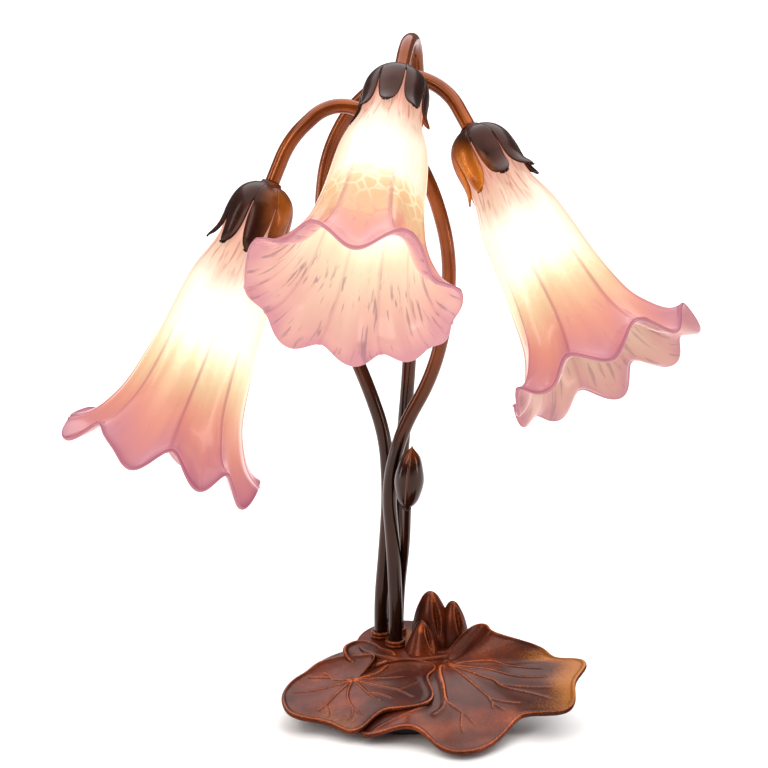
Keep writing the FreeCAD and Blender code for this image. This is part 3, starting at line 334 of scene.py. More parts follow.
def artGlass():
    # blown opal glass with drawn-out pink and plum frit, lit from inside: white hot at
    # the bulb, cream, salmon and mauve towards the mouth, a plum line at the rim
    material, tree, shader = newMaterial("blown opal glass with pink frit")
    drop = markOf(tree, "drop")
    inside = markOf(tree, "inside")
    vein = markOf(tree, "vein")
    lip = markOf(tree, "lip")
    flow = addNode(tree, "ShaderNodeAttribute", attribute_name="blow").outputs["Vector"]
    # frit drawn into streaks about 2 mm wide and 14 mm long
    drawn = addNode(tree, "ShaderNodeMapping", {"Scale": (1.0, 1.0, 0.15)}, {"Vector": flow})
    streak = addNode(tree, "ShaderNodeTexNoise", {"Scale": 1 / 0.0022, "Detail": 3.0, "Distortion": 0.4},
                     {"Vector": drawn.outputs["Vector"]}).outputs["Fac"]
    haze = addNode(tree, "ShaderNodeTexNoise", {"Scale": 1 / 0.012, "Detail": 3.0},
                   {"Vector": drawn.outputs["Vector"]}).outputs["Fac"]
    # honeycomb of opal patches about 7 mm wide
    cells = addNode(tree, "ShaderNodeTexVoronoi", {"Scale": 1 / 0.0075, "Randomness": 0.9},
                    {"Vector": addNode(tree, "ShaderNodeMapping", {"Scale": (1.0, 1.0, 0.8)},
                                       {"Vector": flow}).outputs["Vector"]},
                    feature="DISTANCE_TO_EDGE").outputs["Distance"]
    shifted = mathNode(tree, "ADD", drop, mathNode(
        tree, "MULTIPLY", mathNode(tree, "SUBTRACT", haze, 0.5), 0.16))
    outer = rampNode(tree, shifted, [
        (0.06, "e69c86"), (0.16, "f4b8a0"), (0.26, "fcdcc0"), (0.36, "fff8e4"), (0.54, "fffae8"),
        (0.62, "fff0c4"), (0.70, "fbd6a8"), (0.78, "f4b092"), (0.86, "ea9a88"), (0.94, "d98a8c"),
        (1.0, "c67c8c")])
    inner = rampNode(tree, shifted, [
        (0.40, "fffef4"), (0.58, "fffae0"), (0.68, "fff0ca"), (0.78, "fcdcbe"), (0.88, "f6c6b0"),
        (0.96, "ecb0a6"), (1.0, "dc9aa0")])
    skin = mixNode(tree, inside, outer, inner)
    # opal cells show low on the body, pink streaks at the neck, plum ones in the mouth
    cellBand = mathNode(tree, "MULTIPLY", rangeNode(tree, drop, 0.52, 0.66),
                        rangeNode(tree, drop, 0.84, 0.74))
    cellShare = mathNode(tree, "MULTIPLY", mathNode(tree, "MULTIPLY", cellBand, markOf(tree, "cells")),
                         rangeNode(tree, cells, 0.04, 0.14))
    skin = mixNode(tree, cellShare, skin, colour("f6c896"))
    neckBand = rangeNode(tree, drop, 0.36, 0.20)
    neckShare = mathNode(tree, "MULTIPLY", neckBand, rangeNode(tree, streak, 0.50, 0.66, 0.0, 0.75))
    skin = mixNode(tree, neckShare, skin, colour("cf8276"))
    mouthBand = mathNode(tree, "MULTIPLY", rangeNode(tree, drop, 0.66, 0.84), markOf(tree, "frit"))
    mouthShare = mathNode(tree, "MULTIPLY", mouthBand, rangeNode(tree, streak, 0.56, 0.68, 0.0, 0.6))
    skin = mixNode(tree, mouthShare, skin, colour("96707c"))
    skin = mixNode(tree, mathNode(tree, "MULTIPLY", vein, 0.55), skin, colour("b0566a"))
    skin = mixNode(tree, mathNode(tree, "MULTIPLY", lip, 0.6), skin, colour("9c4868"))
    # the wall is thicker where it's seen edge on, so it glows less and warmer there
    side = addNode(tree, "ShaderNodeLayerWeight", {"Blend": 0.5}).outputs["Facing"]
    thick = mathNode(tree, "MULTIPLY", side, side)
    heat = mathNode(tree, "MULTIPLY", rangeNode(tree, shifted, 0.24, 0.42),
                    rangeNode(tree, shifted, 0.72, 0.54))
    skin = mixNode(tree, mathNode(tree, "MULTIPLY", mathNode(tree, "MULTIPLY", thick, heat), 0.75),
                   skin, colour("ffdca4"))
    tree.links.new(mixNode(tree, 1.0, skin, colour("584440"), "MULTIPLY"), shader.inputs["Base Color"])
    tree.links.new(skin, shader.inputs["Emission Color"])
    hot = mathNode(tree, "MULTIPLY", heat, mathNode(
        tree, "SUBTRACT", 0.42, mathNode(tree, "MULTIPLY", thick, 0.62)))
    power = mathNode(tree, "ADD", hot, markOf(tree, "glow"))
    tree.links.new(power, shader.inputs["Emission Strength"])
    shader.inputs["Roughness"].default_value = 0.24
    shader.inputs["IOR"].default_value = 1.52
    shader.inputs["Specular IOR Level"].default_value = 0.28
    shader.inputs["Specular Tint"].default_value = colour("ffcfc0")
    shader.inputs["Coat Weight"].default_value = 0.07
    shader.inputs["Coat Roughness"].default_value = 0.05
    bump = addNode(tree, "ShaderNodeBump", {"Strength": 0.25, "Distance": 0.0005}, {"Height": haze})
    tree.links.new(bump.outputs["Normal"], shader.inputs["Normal"])
    return material


def plainMaterial(name, code, roughness, metallic=0.0, grain=0.0006, depth=0.1, glow=0.0):
    # a moulded, plated or woven finish: one colour broken up by a fine grain in mm
    material, tree, shader = newMaterial(name)
    place = addNode(tree, "ShaderNodeTexCoord").outputs["Object"]
    noise = addNode(tree, "ShaderNodeTexNoise", {"Scale": 1 / grain, "Detail": 3.0}, {"Vector": place})
    tint = colour(code)
    deep = (*[c * 0.75 for c in tint[:3]], 1.0)
    tree.links.new(mixNode(tree, noise.outputs["Fac"], deep, tint), shader.inputs["Base Color"])
    shader.inputs["Roughness"].default_value = roughness
    shader.inputs["Metallic"].default_value = metallic
    bump = addNode(tree, "ShaderNodeBump", {"Strength": depth, "Distance": 0.0002},
                   {"Height": noise.outputs["Fac"]})
    tree.links.new(bump.outputs["Normal"], shader.inputs["Normal"])
    if glow:
        shader.inputs["Emission Color"].default_value = tint
        shader.inputs["Emission Strength"].default_value = glow
    return material


castBronze = bronzeCast()
tubeBronze = bronzeTube()
sheetBronze = bronzeSheet()
shadeGlass = artGlass()
nodeFinishes = {
    "felt": plainMaterial("dark wool felt", "20241f", 0.95, grain=0.0004, depth=0.6),
    "steel_plate": plainMaterial("brown powder coat on steel", "1d120e", 0.5, 0.2, 0.0008, 0.2),
    "zinc_steel": plainMaterial("zinc plated steel", "a9a9a4", 0.35, 1.0),
    "brass": plainMaterial("stamped brass", "b8934c", 0.3, 1.0),
    "nickel_brass": plainMaterial("nickel plated brass", "b6b2a6", 0.25, 1.0),
    "black_plastic": plainMaterial("moulded phenolic", "171514", 0.4),
    "white_plastic": plainMaterial("moulded nylon", "d8d4c8", 0.5),
    "lead_insulation": plainMaterial("extruded vinyl insulation", "4a2c1a", 0.4),
    "black_rubber": plainMaterial("moulded rubber", "141312", 0.7),
    "bulb_glass": plainMaterial("frosted bulb glass, lit", "fff0d0", 0.4, glow=8.0),
    "bronze_trim": castBronze, "bronze_casting": castBronze, "bronze_tube": tubeBronze,
    "bronze_sheet": sheetBronze, "art_glass": shadeGlass}
slotOf = {entry["node"]: entry["material_slot"] for entry in frame["record"]["subparts"]}
for name, node in nodes.items():
    node.data.materials.clear()
    node.data.materials.append(nodeFinishes[slotOf[name]])
print("materials made:", len(bpy.data.materials))


# ruffled glass shades

# rim of each shade: (angle from the under side, reach and drop beyond the mouth's)
rims = {
    "left": [(16, 3, -5), (36, 1, -3), (54, 4, 2), (69, 5, 8), (82, 0, -7), (97, 4, 6), (111, 1, -3),
             (122, -1, -9), (134, 4, 7), (149, 3, 3), (162, 1, -4), (171, -1, -7), (182, 3, 6),
             (195, 5, 8), (212, 2, 0), (228, 3, -3), (250, 0, -8), (270, 5, 6), (292, 0, -7),
             (315, 5, 6), (337, 0, -6), (357, 4, 3)],
    "right": [(1, 0, -5), (14, 0, -6), (27, -5, -15), (40, 0, -5), (53, 1, -2), (66, -5, -15),
              (79, 0, -4), (93, 1, -1), (109, -3, -9), (124, 1, -3), (141, 2, -7), (157, 2, -14),
              (173, 0, 1), (188, -3, -12), (203, -3, -9), (220, -1, 2), (241, -3, -13), (257, -3, -3),
              (270, 0, -6), (281, 0, -14), (294, 0, -4), (312, -4, -13), (331, 0, -4), (346, -3, -9)],
    "centre": [(10, -5, -6), (23, 0, -2), (43, -2, -3), (56, -1, 0), (72, -3, -1), (86, 0, 0),
               (101, 2, 0), (118, -4, 6), (132, 0, 2), (150, 4, -4), (164, -3, 7), (179, -3, 7),
               (195, 4, -2), (210, 1, 4), (229, 6, -3), (247, 3, 0), (262, 1, 2), (276, 0, -2),
               (290, -3, -4), (306, 1, -1), (320, 1, -1), (331, -4, -7), (344, 0, -4), (357, 1, -2)]}
glassLook = {
    "columns": 340, "rows": 100, "lipRows": 7, "rimSwell": 1.08, "curl": 6.5, "curlStart": 0.86,
    "veinHeight": 0.7, "veinWidth": 1.1, "veinStart": 0.45,
    "veins": {"left": [5, 36, 82, 122, 171, 212, 250, 292, 337],
              "right": [27, 66, 109, 157, 188, 241, 281, 312, 346],
              "centre": [10, 43, 72, 101, 150, 195, 229, 262, 290, 331]},
    "frit": {"left": 0.35, "right": 0.7, "centre": 1.0},
    "cells": {"left": 0.15, "right": 0.2, "centre": 1.0},
    "blowRadius": 30, "outsideGlow": 0.84,
    "insideGlow": {"left": 0.7, "right": 0.68, "centre": 0.94}}


def glassSkin(side, turn, share, inward):
    # a skin of a shade: the outline's radius at each share of the drop, plus the rim's
    # reach and drop grown by the square of the share past the start of the ruffles; the
    # inner skin lies one wall further in, square to the outline. Near the rim the
    # glass dips below that line and comes back up, as a curled lip
    look = glassLook
    place, out = np.array(shade["outline"]).T
    place = np.concatenate([[0.0], place])
    spread = shade["mouthRadius"] - shade["neckRadius"]
    radii = np.concatenate([[shade["neckRadius"] - shade["neckIn"]], shade["neckRadius"] + out * spread])
    radius = splineThrough(place, radii, share)
    slope = (splineThrough(place, radii, share + 0.002) - splineThrough(place, radii, share - 0.002)) \
        / (0.004 * shade["mouthDrop"])
    length = np.sqrt(1 + slope ** 2)
    angle, reach, low = np.array(rims[side], float).T
    degrees = np.degrees(turn) % 360
    reachAt = splineThrough(angle, reach, degrees, 360)
    lowAt = splineThrough(angle, low, degrees, 360)
    flow = (np.clip(share - shade["ruffleStart"], 0, 1) / (1 - shade["ruffleStart"])) ** 2
    upFold = smooth(-lowAt, -4, 9)
    lipShare = np.clip((share - look["curlStart"]) / (1 - look["curlStart"]), 0, 1)
    curl = look["curl"] * (0.25 + 0.75 * upFold) * np.sin(math.pi * lipShare) * lipShare
    drop = share * shade["mouthDrop"] + inward * shade["wall"] * slope / length
    out = radius - inward * shade["wall"] / length + flow * reachAt + curl * 0.5
    down = shade["seat"] + drop + flow * lowAt + curl
    vein = np.zeros(out.shape)
    for middle in look["veins"][side]:
        swing = 5 * np.sin(3 * share + middle)
        gap = (degrees - middle - swing * (1 - share) + 180) % 360 - 180
        vein = np.maximum(vein, hump(np.radians(gap) * out, look["veinWidth"]))
    vein = vein * smooth(share, look["veinStart"], look["veinStart"] + 0.25)
    out = out + (1 - inward) * look["veinHeight"] * vein
    wobble = 0.35 * ripple(turn * 3, share * 9, 3) * smooth(share, 0.15, 0.4)
    out = out + wobble
    return np.stack([out * np.cos(turn), out * np.sin(turn), down], -1), vein


def glassShade(side):
    # outer skin down, half a circle round the rim, inner skin up, and the neck's flange
    look = glassLook
    turn = np.linspace(0, fullTurn, look["columns"], endpoint=False)[None, :]
    fine = np.linspace(0, 1, look["rows"])[:, None] ** 0.85
    outer, outerVein = glassSkin(side, turn, fine, 0)
    inner, innerVein = glassSkin(side, turn, fine[::-1], 1)
    first, last = outer[-1], inner[0]
    middle = (first + last) / 2
    half = (first - last) / 2
    ahead = np.cross(half, np.roll(middle, -1, 0) - np.roll(middle, 1, 0))
    ahead = unit(ahead) * np.linalg.norm(half, axis=-1, keepdims=True)
    ahead = np.where(((middle - outer[-3]) * ahead).sum(-1, keepdims=True) > 0, ahead, -ahead)
    step = np.linspace(0, math.pi, look["lipRows"] + 2)[1:-1, None, None]
    rim = middle + half * np.cos(step) * look["rimSwell"] + ahead * np.sin(step)
    ring = np.stack([np.cos(turn[0]), np.sin(turn[0]), np.zeros(turn.shape[1])], -1)
    seat, flange = shade["seat"], shade["flange"]
    innerFoot = ring * (shade["neckRadius"] - shade["neckIn"] - shade["wall"]) + [0, 0, seat + flange]
    eyes = [ring * shade["eye"] + [0, 0, seat + flange], ring * shade["eye"] + [0, 0, seat]]
    keptInner = inner[inner[:, 0, 2] > seat + flange + 0.8]
    rows = np.concatenate([outer, rim, keptInner, innerFoot[None], np.stack(eyes)])
    n, r, k = len(outer), len(rim), len(keptInner) + 3
    share = np.concatenate([fine[:, 0], np.ones(r), fine[::-1, 0][:k - 3], [0.0, 0.0, 0.0]])[:, None]
    count = turn.shape[1]
    inside = np.concatenate([np.zeros(n), np.linspace(0, 1, r), np.ones(k)])[:, None]
    vein = np.concatenate([outerVein, np.zeros((r, count)), innerVein[:k - 3] * 0.4, np.zeros((3, count))])
    lipPlace = np.concatenate([np.arange(n) - n + 1.0, np.arange(r) + 1.0, np.full(k, 40.0)])[:, None]
    lip = hump(lipPlace - 0.5, 1.6) * np.ones((1, count))
    # where the streaks are read: on an even cylinder, the inner skin two radii lower
    blow = np.stack(np.broadcast_arrays(
        look["blowRadius"] * np.cos(turn), look["blowRadius"] * np.sin(turn),
        share * shade["mouthDrop"] + inside * 2 * look["blowRadius"]), -1) * mm
    glow = look["outsideGlow"] - inside * (look["outsideGlow"] - look["insideGlow"][side])
    marks = {"drop": share, "inside": inside, "vein": vein, "lip": lip, "blow": blow, "glow": glow,
             "frit": look["frit"][side] * (0.35 + 0.65 * inside),
             "cells": look["cells"][side] * (1 - inside)}
    marks = {word: values * np.ones((1, count) + (1,) * (np.ndim(values) - 2)) if np.ndim(values) else
             np.full((len(rows), count), values) for word, values in marks.items()}
    gridPiece("glassShade_" + side, placedInShade(side, rows), "lamp", shadeGlass,
              ["glass_shade_" + side], loop=True, marks=marks)


for side in sides:
    glassShade(side)
print("glass shades made")


# slit sepal caps

capLook = {
    # outside of the cap: (radius, height down from the crown)
    "outline": [(4.15, 0.0), (5.6, 0.05), (6.3, 0.7), (6.5, 1.7), (8.2, 2.3), (10.6, 3.3), (13.2, 5.0),
                (15.9, 7.6), (18.0, 11.0), (19.4, 15.0), (20.0, 20.0), (20.1, 26.0), (20.1, 32.0),
                (20.4, 37.0), (21.3, 41.0), (22.6, 44.6)],
    "sepals": 8, "slitTop": 14.0, "slitNarrow": 22.0, "slitHalf": 0.45, "slitReach": 0.97,
    "wall": 1.2, "tipCurl": 0.5, "tipLift": 0.18,
    "columns": 22, "rows": 70, "puff": 0.7, "holeOut": 9.6,
    "turn": {"left": 8.0, "right": 12.0, "centre": 22.5},
    # how far each sepal's tip stands out (mm)
    "flare": {"left": [0, 1.0, 0.5, 0, 2.0, 1.0, 0.3, 0.5],
              "right": [0.5, 0, 1.0, 4.5, 6.0, 1.0, 0, 0.5],
              "centre": [0.3, 0.8, 1.5, 0.4, 0, 0.6, 1.2, 0.4]}}


def sepalCap(side):
    # eight sepals of sheet: each is the outline swept over its share of the circle, and
    # narrows below the slit's top by the slit's half width, which stays narrow and then
    # bows out as a quarter circle; a sepal is puffed across and curls out at its tip
    look = capLook
    outline = np.array(look["outline"])
    run = np.concatenate([[0], np.cumsum(np.linalg.norm(np.diff(outline, axis=0), axis=1))])
    along = np.linspace(0, 1, look["rows"])[:, None] * run[-1]
    radius = splineThrough(run, outline[:, 0], along)
    down = splineThrough(run, outline[:, 1], along)
    slitMouth = math.pi * radius / look["sepals"] * look["slitReach"]
    slitShare = np.clip((down - look["slitNarrow"]) / (outline[-1, 1] - look["slitNarrow"]), 0, 1)
    bow = slitMouth * (1 - np.sqrt(np.clip(1 - slitShare ** 2, 0, 1)))
    half = (look["slitHalf"] + bow) * smooth(down, look["slitTop"] - 0.6, look["slitTop"] + 1.2)
    across = np.linspace(-1, 1, look["columns"])[None, :]
    room = math.pi / look["sepals"] - half / radius
    for i in range(look["sepals"]):
        middle = math.radians(look["turn"][side]) + (i + 0.5) * fullTurn / look["sepals"]
        angle = middle + across * np.clip(room, 0.004, 1)
        tip = smooth(down, 24, outline[-1, 1])
        out = radius + look["flare"][side][i] * tip ** 2 + look["puff"] * smooth(down, 14, 26) \
            * (1 - across ** 2) - look["tipCurl"] * tip * across ** 2
        fall = down - look["tipLift"] * look["flare"][side][i] * tip ** 2 + 0 * across
        skin = np.stack([out * np.cos(angle), out * np.sin(angle), fall], -1)
        normal = unit(np.cross(np.gradient(skin, axis=0), np.gradient(skin, axis=1)))
        outward = np.stack([np.cos(angle), np.sin(angle), -0.8 + 0 * angle], -1)
        normal = np.where((normal * outward).sum(-1, keepdims=True) > 0, normal, -normal)
        under = skin - normal * look["wall"]
        sheet = np.concatenate([skin, under[:, ::-1]], 1)
        ring = placedInShade(side, sheet)
        # the warm mark is painted light: the centre shade's glow on this sepal
        warm = sepalPaintedGlow(side, ring)
        gridPiece("sepal_%s_%d" % (side, i + 1), ring, "lamp", sheetBronze,
                  ["sepal_cap_" + side] if i == 0 else (), ends=(ring[0].mean(0), ring[-1].mean(0)),
                  marks={"warm": warm})


# middle of the shades' glow that is painted as light on the caps and stems, and how far it reaches (mm)
glowSpot = {"place": (5.0, -45.0, 330.0), "near": 50.0, "far": 125.0,
            "stemNear": 60.0, "stemFar": 190.0, "stemMost": 0.85}


def sepalPaintedGlow(side, points):
    # painted light: warm where the surface looks towards the centre shade's glow from nearby
    spot = np.array(glowSpot["place"])
    crown, under, across, down = shadeFrame(side)
    axis = crown + down * 25
    away = unit(points - axis)
    towards = unit(spot - axis)
    facing = (away * towards).sum(-1)
    gap = np.linalg.norm(points - spot, axis=-1)
    return smooth(facing, 0.25, 0.95) * smooth(-gap, -glowSpot["far"], -glowSpot["near"])


for side in sides:
    sepalCap(side)
print("sepal caps made")


# bent stems

stemLook = {
    "radius": 4.5, "platform": 24.0, "bendShare": 0.47, "arcPoints": 14, "columns": 36,
    "feet": {"left": (-7.5, 21.0), "right": (-17.0, 36.0), "centre": (-10.0, 53.0), "bud": (-5.0, 41.5)},
    "routes": {
        "left": [(-7.5, 21, 58), (-9.3, 21, 95), (-12.5, 20, 134), (-4, 19, 172), (16, 17, 210),
                 (25, 15, 251), (26, 13, 292), (15, 11, 333), (-5, 7, 369), (-45, -1, 391)],
        "right": [(-17, 36, 52), (-14, 37, 88), (-12, 37, 123), (-14, 38, 162), (-26, 40, 198),
                  (-42, 42, 234), (-52, 40, 272), (-55, 38, 310), (-51, 35, 348), (-34, 29, 382),
                  (-4, 18, 404)],
        "centre": [(-10, 53, 60), (-6, 53, 102), (-3, 52, 152), (1, 51, 201), (3, 50, 251),
                   (4, 49, 301), (4, 48, 348), (6, 46, 390), (4, 34, 421)],
        "bud": [(-5, 41.5, 36), (-4, 36, 60), (-1, 21, 95), (-0.5, 6, 126)]},
    "endRun": {"left": 28.0, "right": 28.0, "centre": 26.0},
    "sideways": {"left": (0, 1, 0), "right": (0, 1, 0), "centre": (1, 0, 0), "bud": (1, 0, 0)},
    "budRadius": 3.0}


def bentPath(corners, share, arcPoints):
    # straight runs joined by arcs that take up a share of the shorter run at each corner
    corners = np.array(corners, float)
    points = [corners[:1]]
    for before, corner, after in zip(corners, corners[1:], corners[2:]):
        come = corner - before
        leave = after - corner
        reach = share * min(np.linalg.norm(come), np.linalg.norm(leave))
        come = unit(come)
        leave = unit(leave)
        half = math.acos(np.clip(come @ leave, -1, 1)) / 2
        radius = reach / math.tan(half)
        inward = unit(leave - come)
        middle = corner + inward * radius / math.cos(half)
        step = np.linspace(-half, half, arcPoints)[:, None]
        points.append(middle - inward * radius * np.cos(step) + unit(come + leave) * radius * np.sin(step))
    points.append(corners[-1:])
    return np.concatenate(points)


def sweptTube(path, radius, sideways, columns):
    # a circle carried along a path, its frame kept square to one sideways direction
    ahead = unit(np.gradient(path, axis=0))
    left = unit(np.cross(ahead, np.array(sideways, float)))
    up = np.cross(left, ahead)
    turn = np.linspace(0, fullTurn, columns, endpoint=False)
    radius = np.broadcast_to(radius, (len(path),))[:, None, None]
    across = left[:, None] * np.cos(turn)[:, None] + up[:, None] * np.sin(turn)[:, None]
    return path[:, None] + radius * across


def evenPath(path, step):
    # the same path with points about one step apart
    run = np.concatenate([[0], np.cumsum(np.linalg.norm(np.diff(path, axis=0), axis=1))])
    count = int(run[-1] / step) + 2
    at = np.linspace(0, run[-1], count)
    return np.stack([np.interp(at, run, path[:, i]) for i in range(3)], -1)


def stemPaintedGlow(points):
    # painted light: warm near the glow of the shades, fading with the distance from it
    gap = np.linalg.norm(points - np.array(glowSpot["place"]), axis=-1)
    return smooth(-gap, -glowSpot["stemFar"], -glowSpot["stemNear"]) * glowSpot["stemMost"]


def stem(name):
    # a tube swept along the stem's route, from its foot to the crown of its cap
    look = stemLook
    x, y = look["feet"][name]
    corners = [(x, y, look["platform"])] + look["routes"][name]
    if name != "bud":
        crown, _, _, down = shadeFrame(name)
        corners += [tuple(crown - down * look["endRun"][name]), tuple(crown + down * 0.5)]
    radius = look["budRadius"] if name == "bud" else look["radius"]
    path = evenPath(bentPath(corners, look["bendShare"], look["arcPoints"]), 2.0)
    points = sweptTube(path, radius, look["sideways"][name], look["columns"])
    # the warm mark is painted light from the shades' glow along the stem
    gridPiece("stem_" + name, points, "lamp", tubeBronze,
              ["bud_stem" if name == "bud" else "arm_" + name], ends=(path[0], path[-1]),
              marks={"warm": stemPaintedGlow(points)})


for name in stemLook["routes"]:
    stem(name)
print("stems made")


def turnedPiece(name, outline, place, material, replaced, columns=64, marks=None):
    # an outline of (radius, height) pairs turned about an upright line, closed on itself
    turn = np.linspace(0, fullTurn, columns, endpoint=False)
    outline = np.array(outline, float)
    ring = np.stack([np.cos(turn), np.sin(turn), np.zeros(columns)], -1)
    points = (outline[:, None, :1] * ring[None] + outline[:, None, 1:] * np.array([0, 0, 1.0])
              + np.array(place))
    return gridPiece(name, points, "lamp", material, replaced, loop=True, marks=marks)


collarLook = {"bead": 1.15, "wall": 0.9, "steps": 12}


def footCollar(name, inner):
    # two round beads, one on the other, with a plain bore round the stem
    look = collarLook
    step = np.linspace(-math.pi / 2, math.pi / 2, look["steps"])
    bead = np.stack([inner + look["wall"] + look["bead"] * np.cos(step), look["bead"] * np.sin(step)], -1)
    lower = bead + [0, look["bead"]]
    upper = bead + [0, 3 * look["bead"]]
    outline = np.concatenate([[(inner + 0.05, 0)], lower, upper, [(inner + 0.05, 4 * look["bead"])]])
    x, y = stemLook["feet"][name]
    rubAndGlint = 0.45 * np.ones((len(outline), 64))
    turnedPiece("collar_" + name, outline, (x, y, stemLook["platform"]), castBronze,
                ["foot_collar_" + name], marks={"rubAndGlint": rubAndGlint, "gild": 0 * rubAndGlint})


for name in sides:
    footCollar(name, stemLook["radius"])
footCollar("bud", stemLook["budRadius"])
print("foot collars made")


# buds

budLook = {
    "rows": 110, "columns": 180, "root": 22.0, "lipWidth": 0.6, "lipHigh": 0.6, "depth": 1.7, "ribHigh": 1.4,
    "cone": [(1.0, 0.0), (0.78, 0.28), (0.58, 0.56), (0.34, 0.85)],
    "full": [(1.0, 0.0), (0.97, 0.2), (0.87, 0.45), (0.67, 0.7), (0.4, 0.9)],
    # foot, tip, width, form, then the slit: middle (degrees from +X), ends (shares of
    # the height) and half its angle
    "front": ((9.8, 14.5), (9.6, 15.3, 44.0), 25.0, "cone", -50, 0.05, 0.985, 15),
    "main": ((16.5, 28), (15.0, 27.5, 59.5), 27.0, "full", -68, 0.16, 0.99, 15),
    "side": ((31, 25), (29.5, 27.0, 53.0), 20.5, "full", -60, 0.18, 0.98, 20),
    # a painted copper highlight at one side of the tip: direction (degrees) and share of the height
    "paintedGlint": {"front": (-104, 0.80)}}


def lilyBud(name):
    # a pointed bud turned about the line from its foot to its tip, its end a quarter
    # round; a lens-shaped slit, half a sine wide, has two raised lips, a sunk groove
    # inside each, and a rib between
    look = budLook
    foot, tip, width, form, middle, low, high, half = look[name]
    base = np.array([*foot, look["root"]])
    line = np.array(tip) - base
    share = 1 - (1 - np.linspace(0, 0.996, look["rows"])[:, None]) ** 1.7
    turn = np.linspace(0, fullTurn, look["columns"], endpoint=False)[None, :]
    across, along = np.array(look[form]).T
    end = np.sqrt(np.clip((1 - share) / (1 - along[-1]), 0, 1)) * across[-1]
    wide = np.where(share < along[-1], splineThrough(along, across, np.minimum(share, along[-1])), end)
    wide = np.clip(wide, 0.01, 2) * width / 2
    inSlit = np.sin(math.pi * np.clip((share - low) / (high - low), 0, 1))
    gap = (np.degrees(turn) - middle + 180) % 360 - 180
    reach = half * inSlit / np.clip(wide / (width / 2), 0.35, 1) * 0.75 + 0.01
    lips = hump((np.abs(gap) - reach) * np.radians(1) * wide, look["lipWidth"]) * np.sqrt(inSlit)
    sunk = smooth(reach - np.abs(gap), 0, 5) * inSlit
    rib = hump(gap * np.radians(1) * wide, 0.7) * inSlit
    out = wide + look["lipHigh"] * lips - look["depth"] * sunk + look["ribHigh"] * rib
    axis = unit(line)
    sideX = unit(np.cross([0, 1.0, 0], axis))
    sideY = np.cross(axis, sideX)
    points = (base + share[..., None] * line + (out * np.cos(turn))[..., None] * sideX
              + (out * np.sin(turn))[..., None] * sideY)
    rubAndGlint = 0.5 * lips + 0.3 * rib + 0.35 * smooth(share, 0.8, 1.0) + 0.2 * ripple(turn * 2, share * 6, 5)
    # painted highlight: a copper spot at one side of the front bud's tip, added to the rub mark
    if name in look["paintedGlint"]:
        spot, high = look["paintedGlint"][name]
        aside = ((np.degrees(turn) - spot + 180) % 360 - 180) / 22
        rubAndGlint = rubAndGlint + hump(np.hypot(aside, (share - high) / 0.13), 1.0)
    gridPiece("lilyBud_" + name, points, "lamp", castBronze, (),
              ends=(base, tip), marks={"rubAndGlint": np.clip(rubAndGlint, 0, 1), "gild": 0 * rubAndGlint})


for name in ("front", "main", "side"):
    lilyBud(name)

stemBudLook = {
    "width": 19.0, "socket": 4.0, "tip": (2.8, 3.0, 167.0), "rows": 80, "columns": 120,
    "outline": [(0.0, 0.0), (0.5, 0.09), (0.88, 0.27), (1.0, 0.46), (0.86, 0.68), (0.5, 0.88), (0.0, 1.0)],
    "seams": (-100.0, 25.0, 150.0), "seamHeight": 0.55, "petalDepth": 0.5}


def stemBud():
    # a pointed oval turned about the stalk's last run, with three raised seams that
    # meet at the tip, each between two softly sunk petals
    look = stemBudLook
    route = np.array(stemLook["routes"]["bud"], float)
    line = unit(route[-1] - route[-2])
    foot = route[-1] - line * look["socket"]
    tip = np.array(look["tip"])
    axis = unit(tip - foot)
    across, along = np.array(look["outline"]).T
    share = (1 - np.cos(np.linspace(0, math.pi, look["rows"])))[:, None] / 2
    turn = np.linspace(0, fullTurn, look["columns"], endpoint=False)[None, :]
    mid = np.clip(share, 0.02, 0.98)
    wide = np.clip(splineThrough(along, across, mid), 0.02, 2) * np.sin(
        math.pi * np.clip(share, 0, 1)) ** 0.12 * look["width"] / 2
    seam = np.zeros(np.broadcast_shapes(share.shape, turn.shape))
    petal = np.zeros(seam.shape)
    for middle in look["seams"]:
        gap = (np.degrees(turn) - middle + 180) % 360 - 180
        seam = np.maximum(seam, hump(gap * np.radians(1) * wide, 0.55))
        petal = np.maximum(petal, hump(gap, 16.0))
    body = smooth(share, 0.08, 0.3) * smooth(-share, -0.98, -0.8)
    out = wide + (look["seamHeight"] * seam - look["petalDepth"] * petal * (1 - seam)) * body
    sideX = unit(np.cross([0, 1.0, 0], axis))
    sideY = np.cross(axis, sideX)
    points = (foot + share[..., None] * (tip - foot) + (out * np.cos(turn))[..., None] * sideX
              + (out * np.sin(turn))[..., None] * sideY)
    # painted light: the tube's lit colour at the tip and along the raised seams
    warm = 0.5 * smooth(share, 0.7, 1.0) + 0.25 * seam * body
    gridPiece("stemBud", points, "lamp", tubeBronze, ["stem_bud"],
              ends=(foot, tip), marks={"warm": np.clip(warm, 0, 1)})


stemBud()
print("buds made")


# lily pads and platform

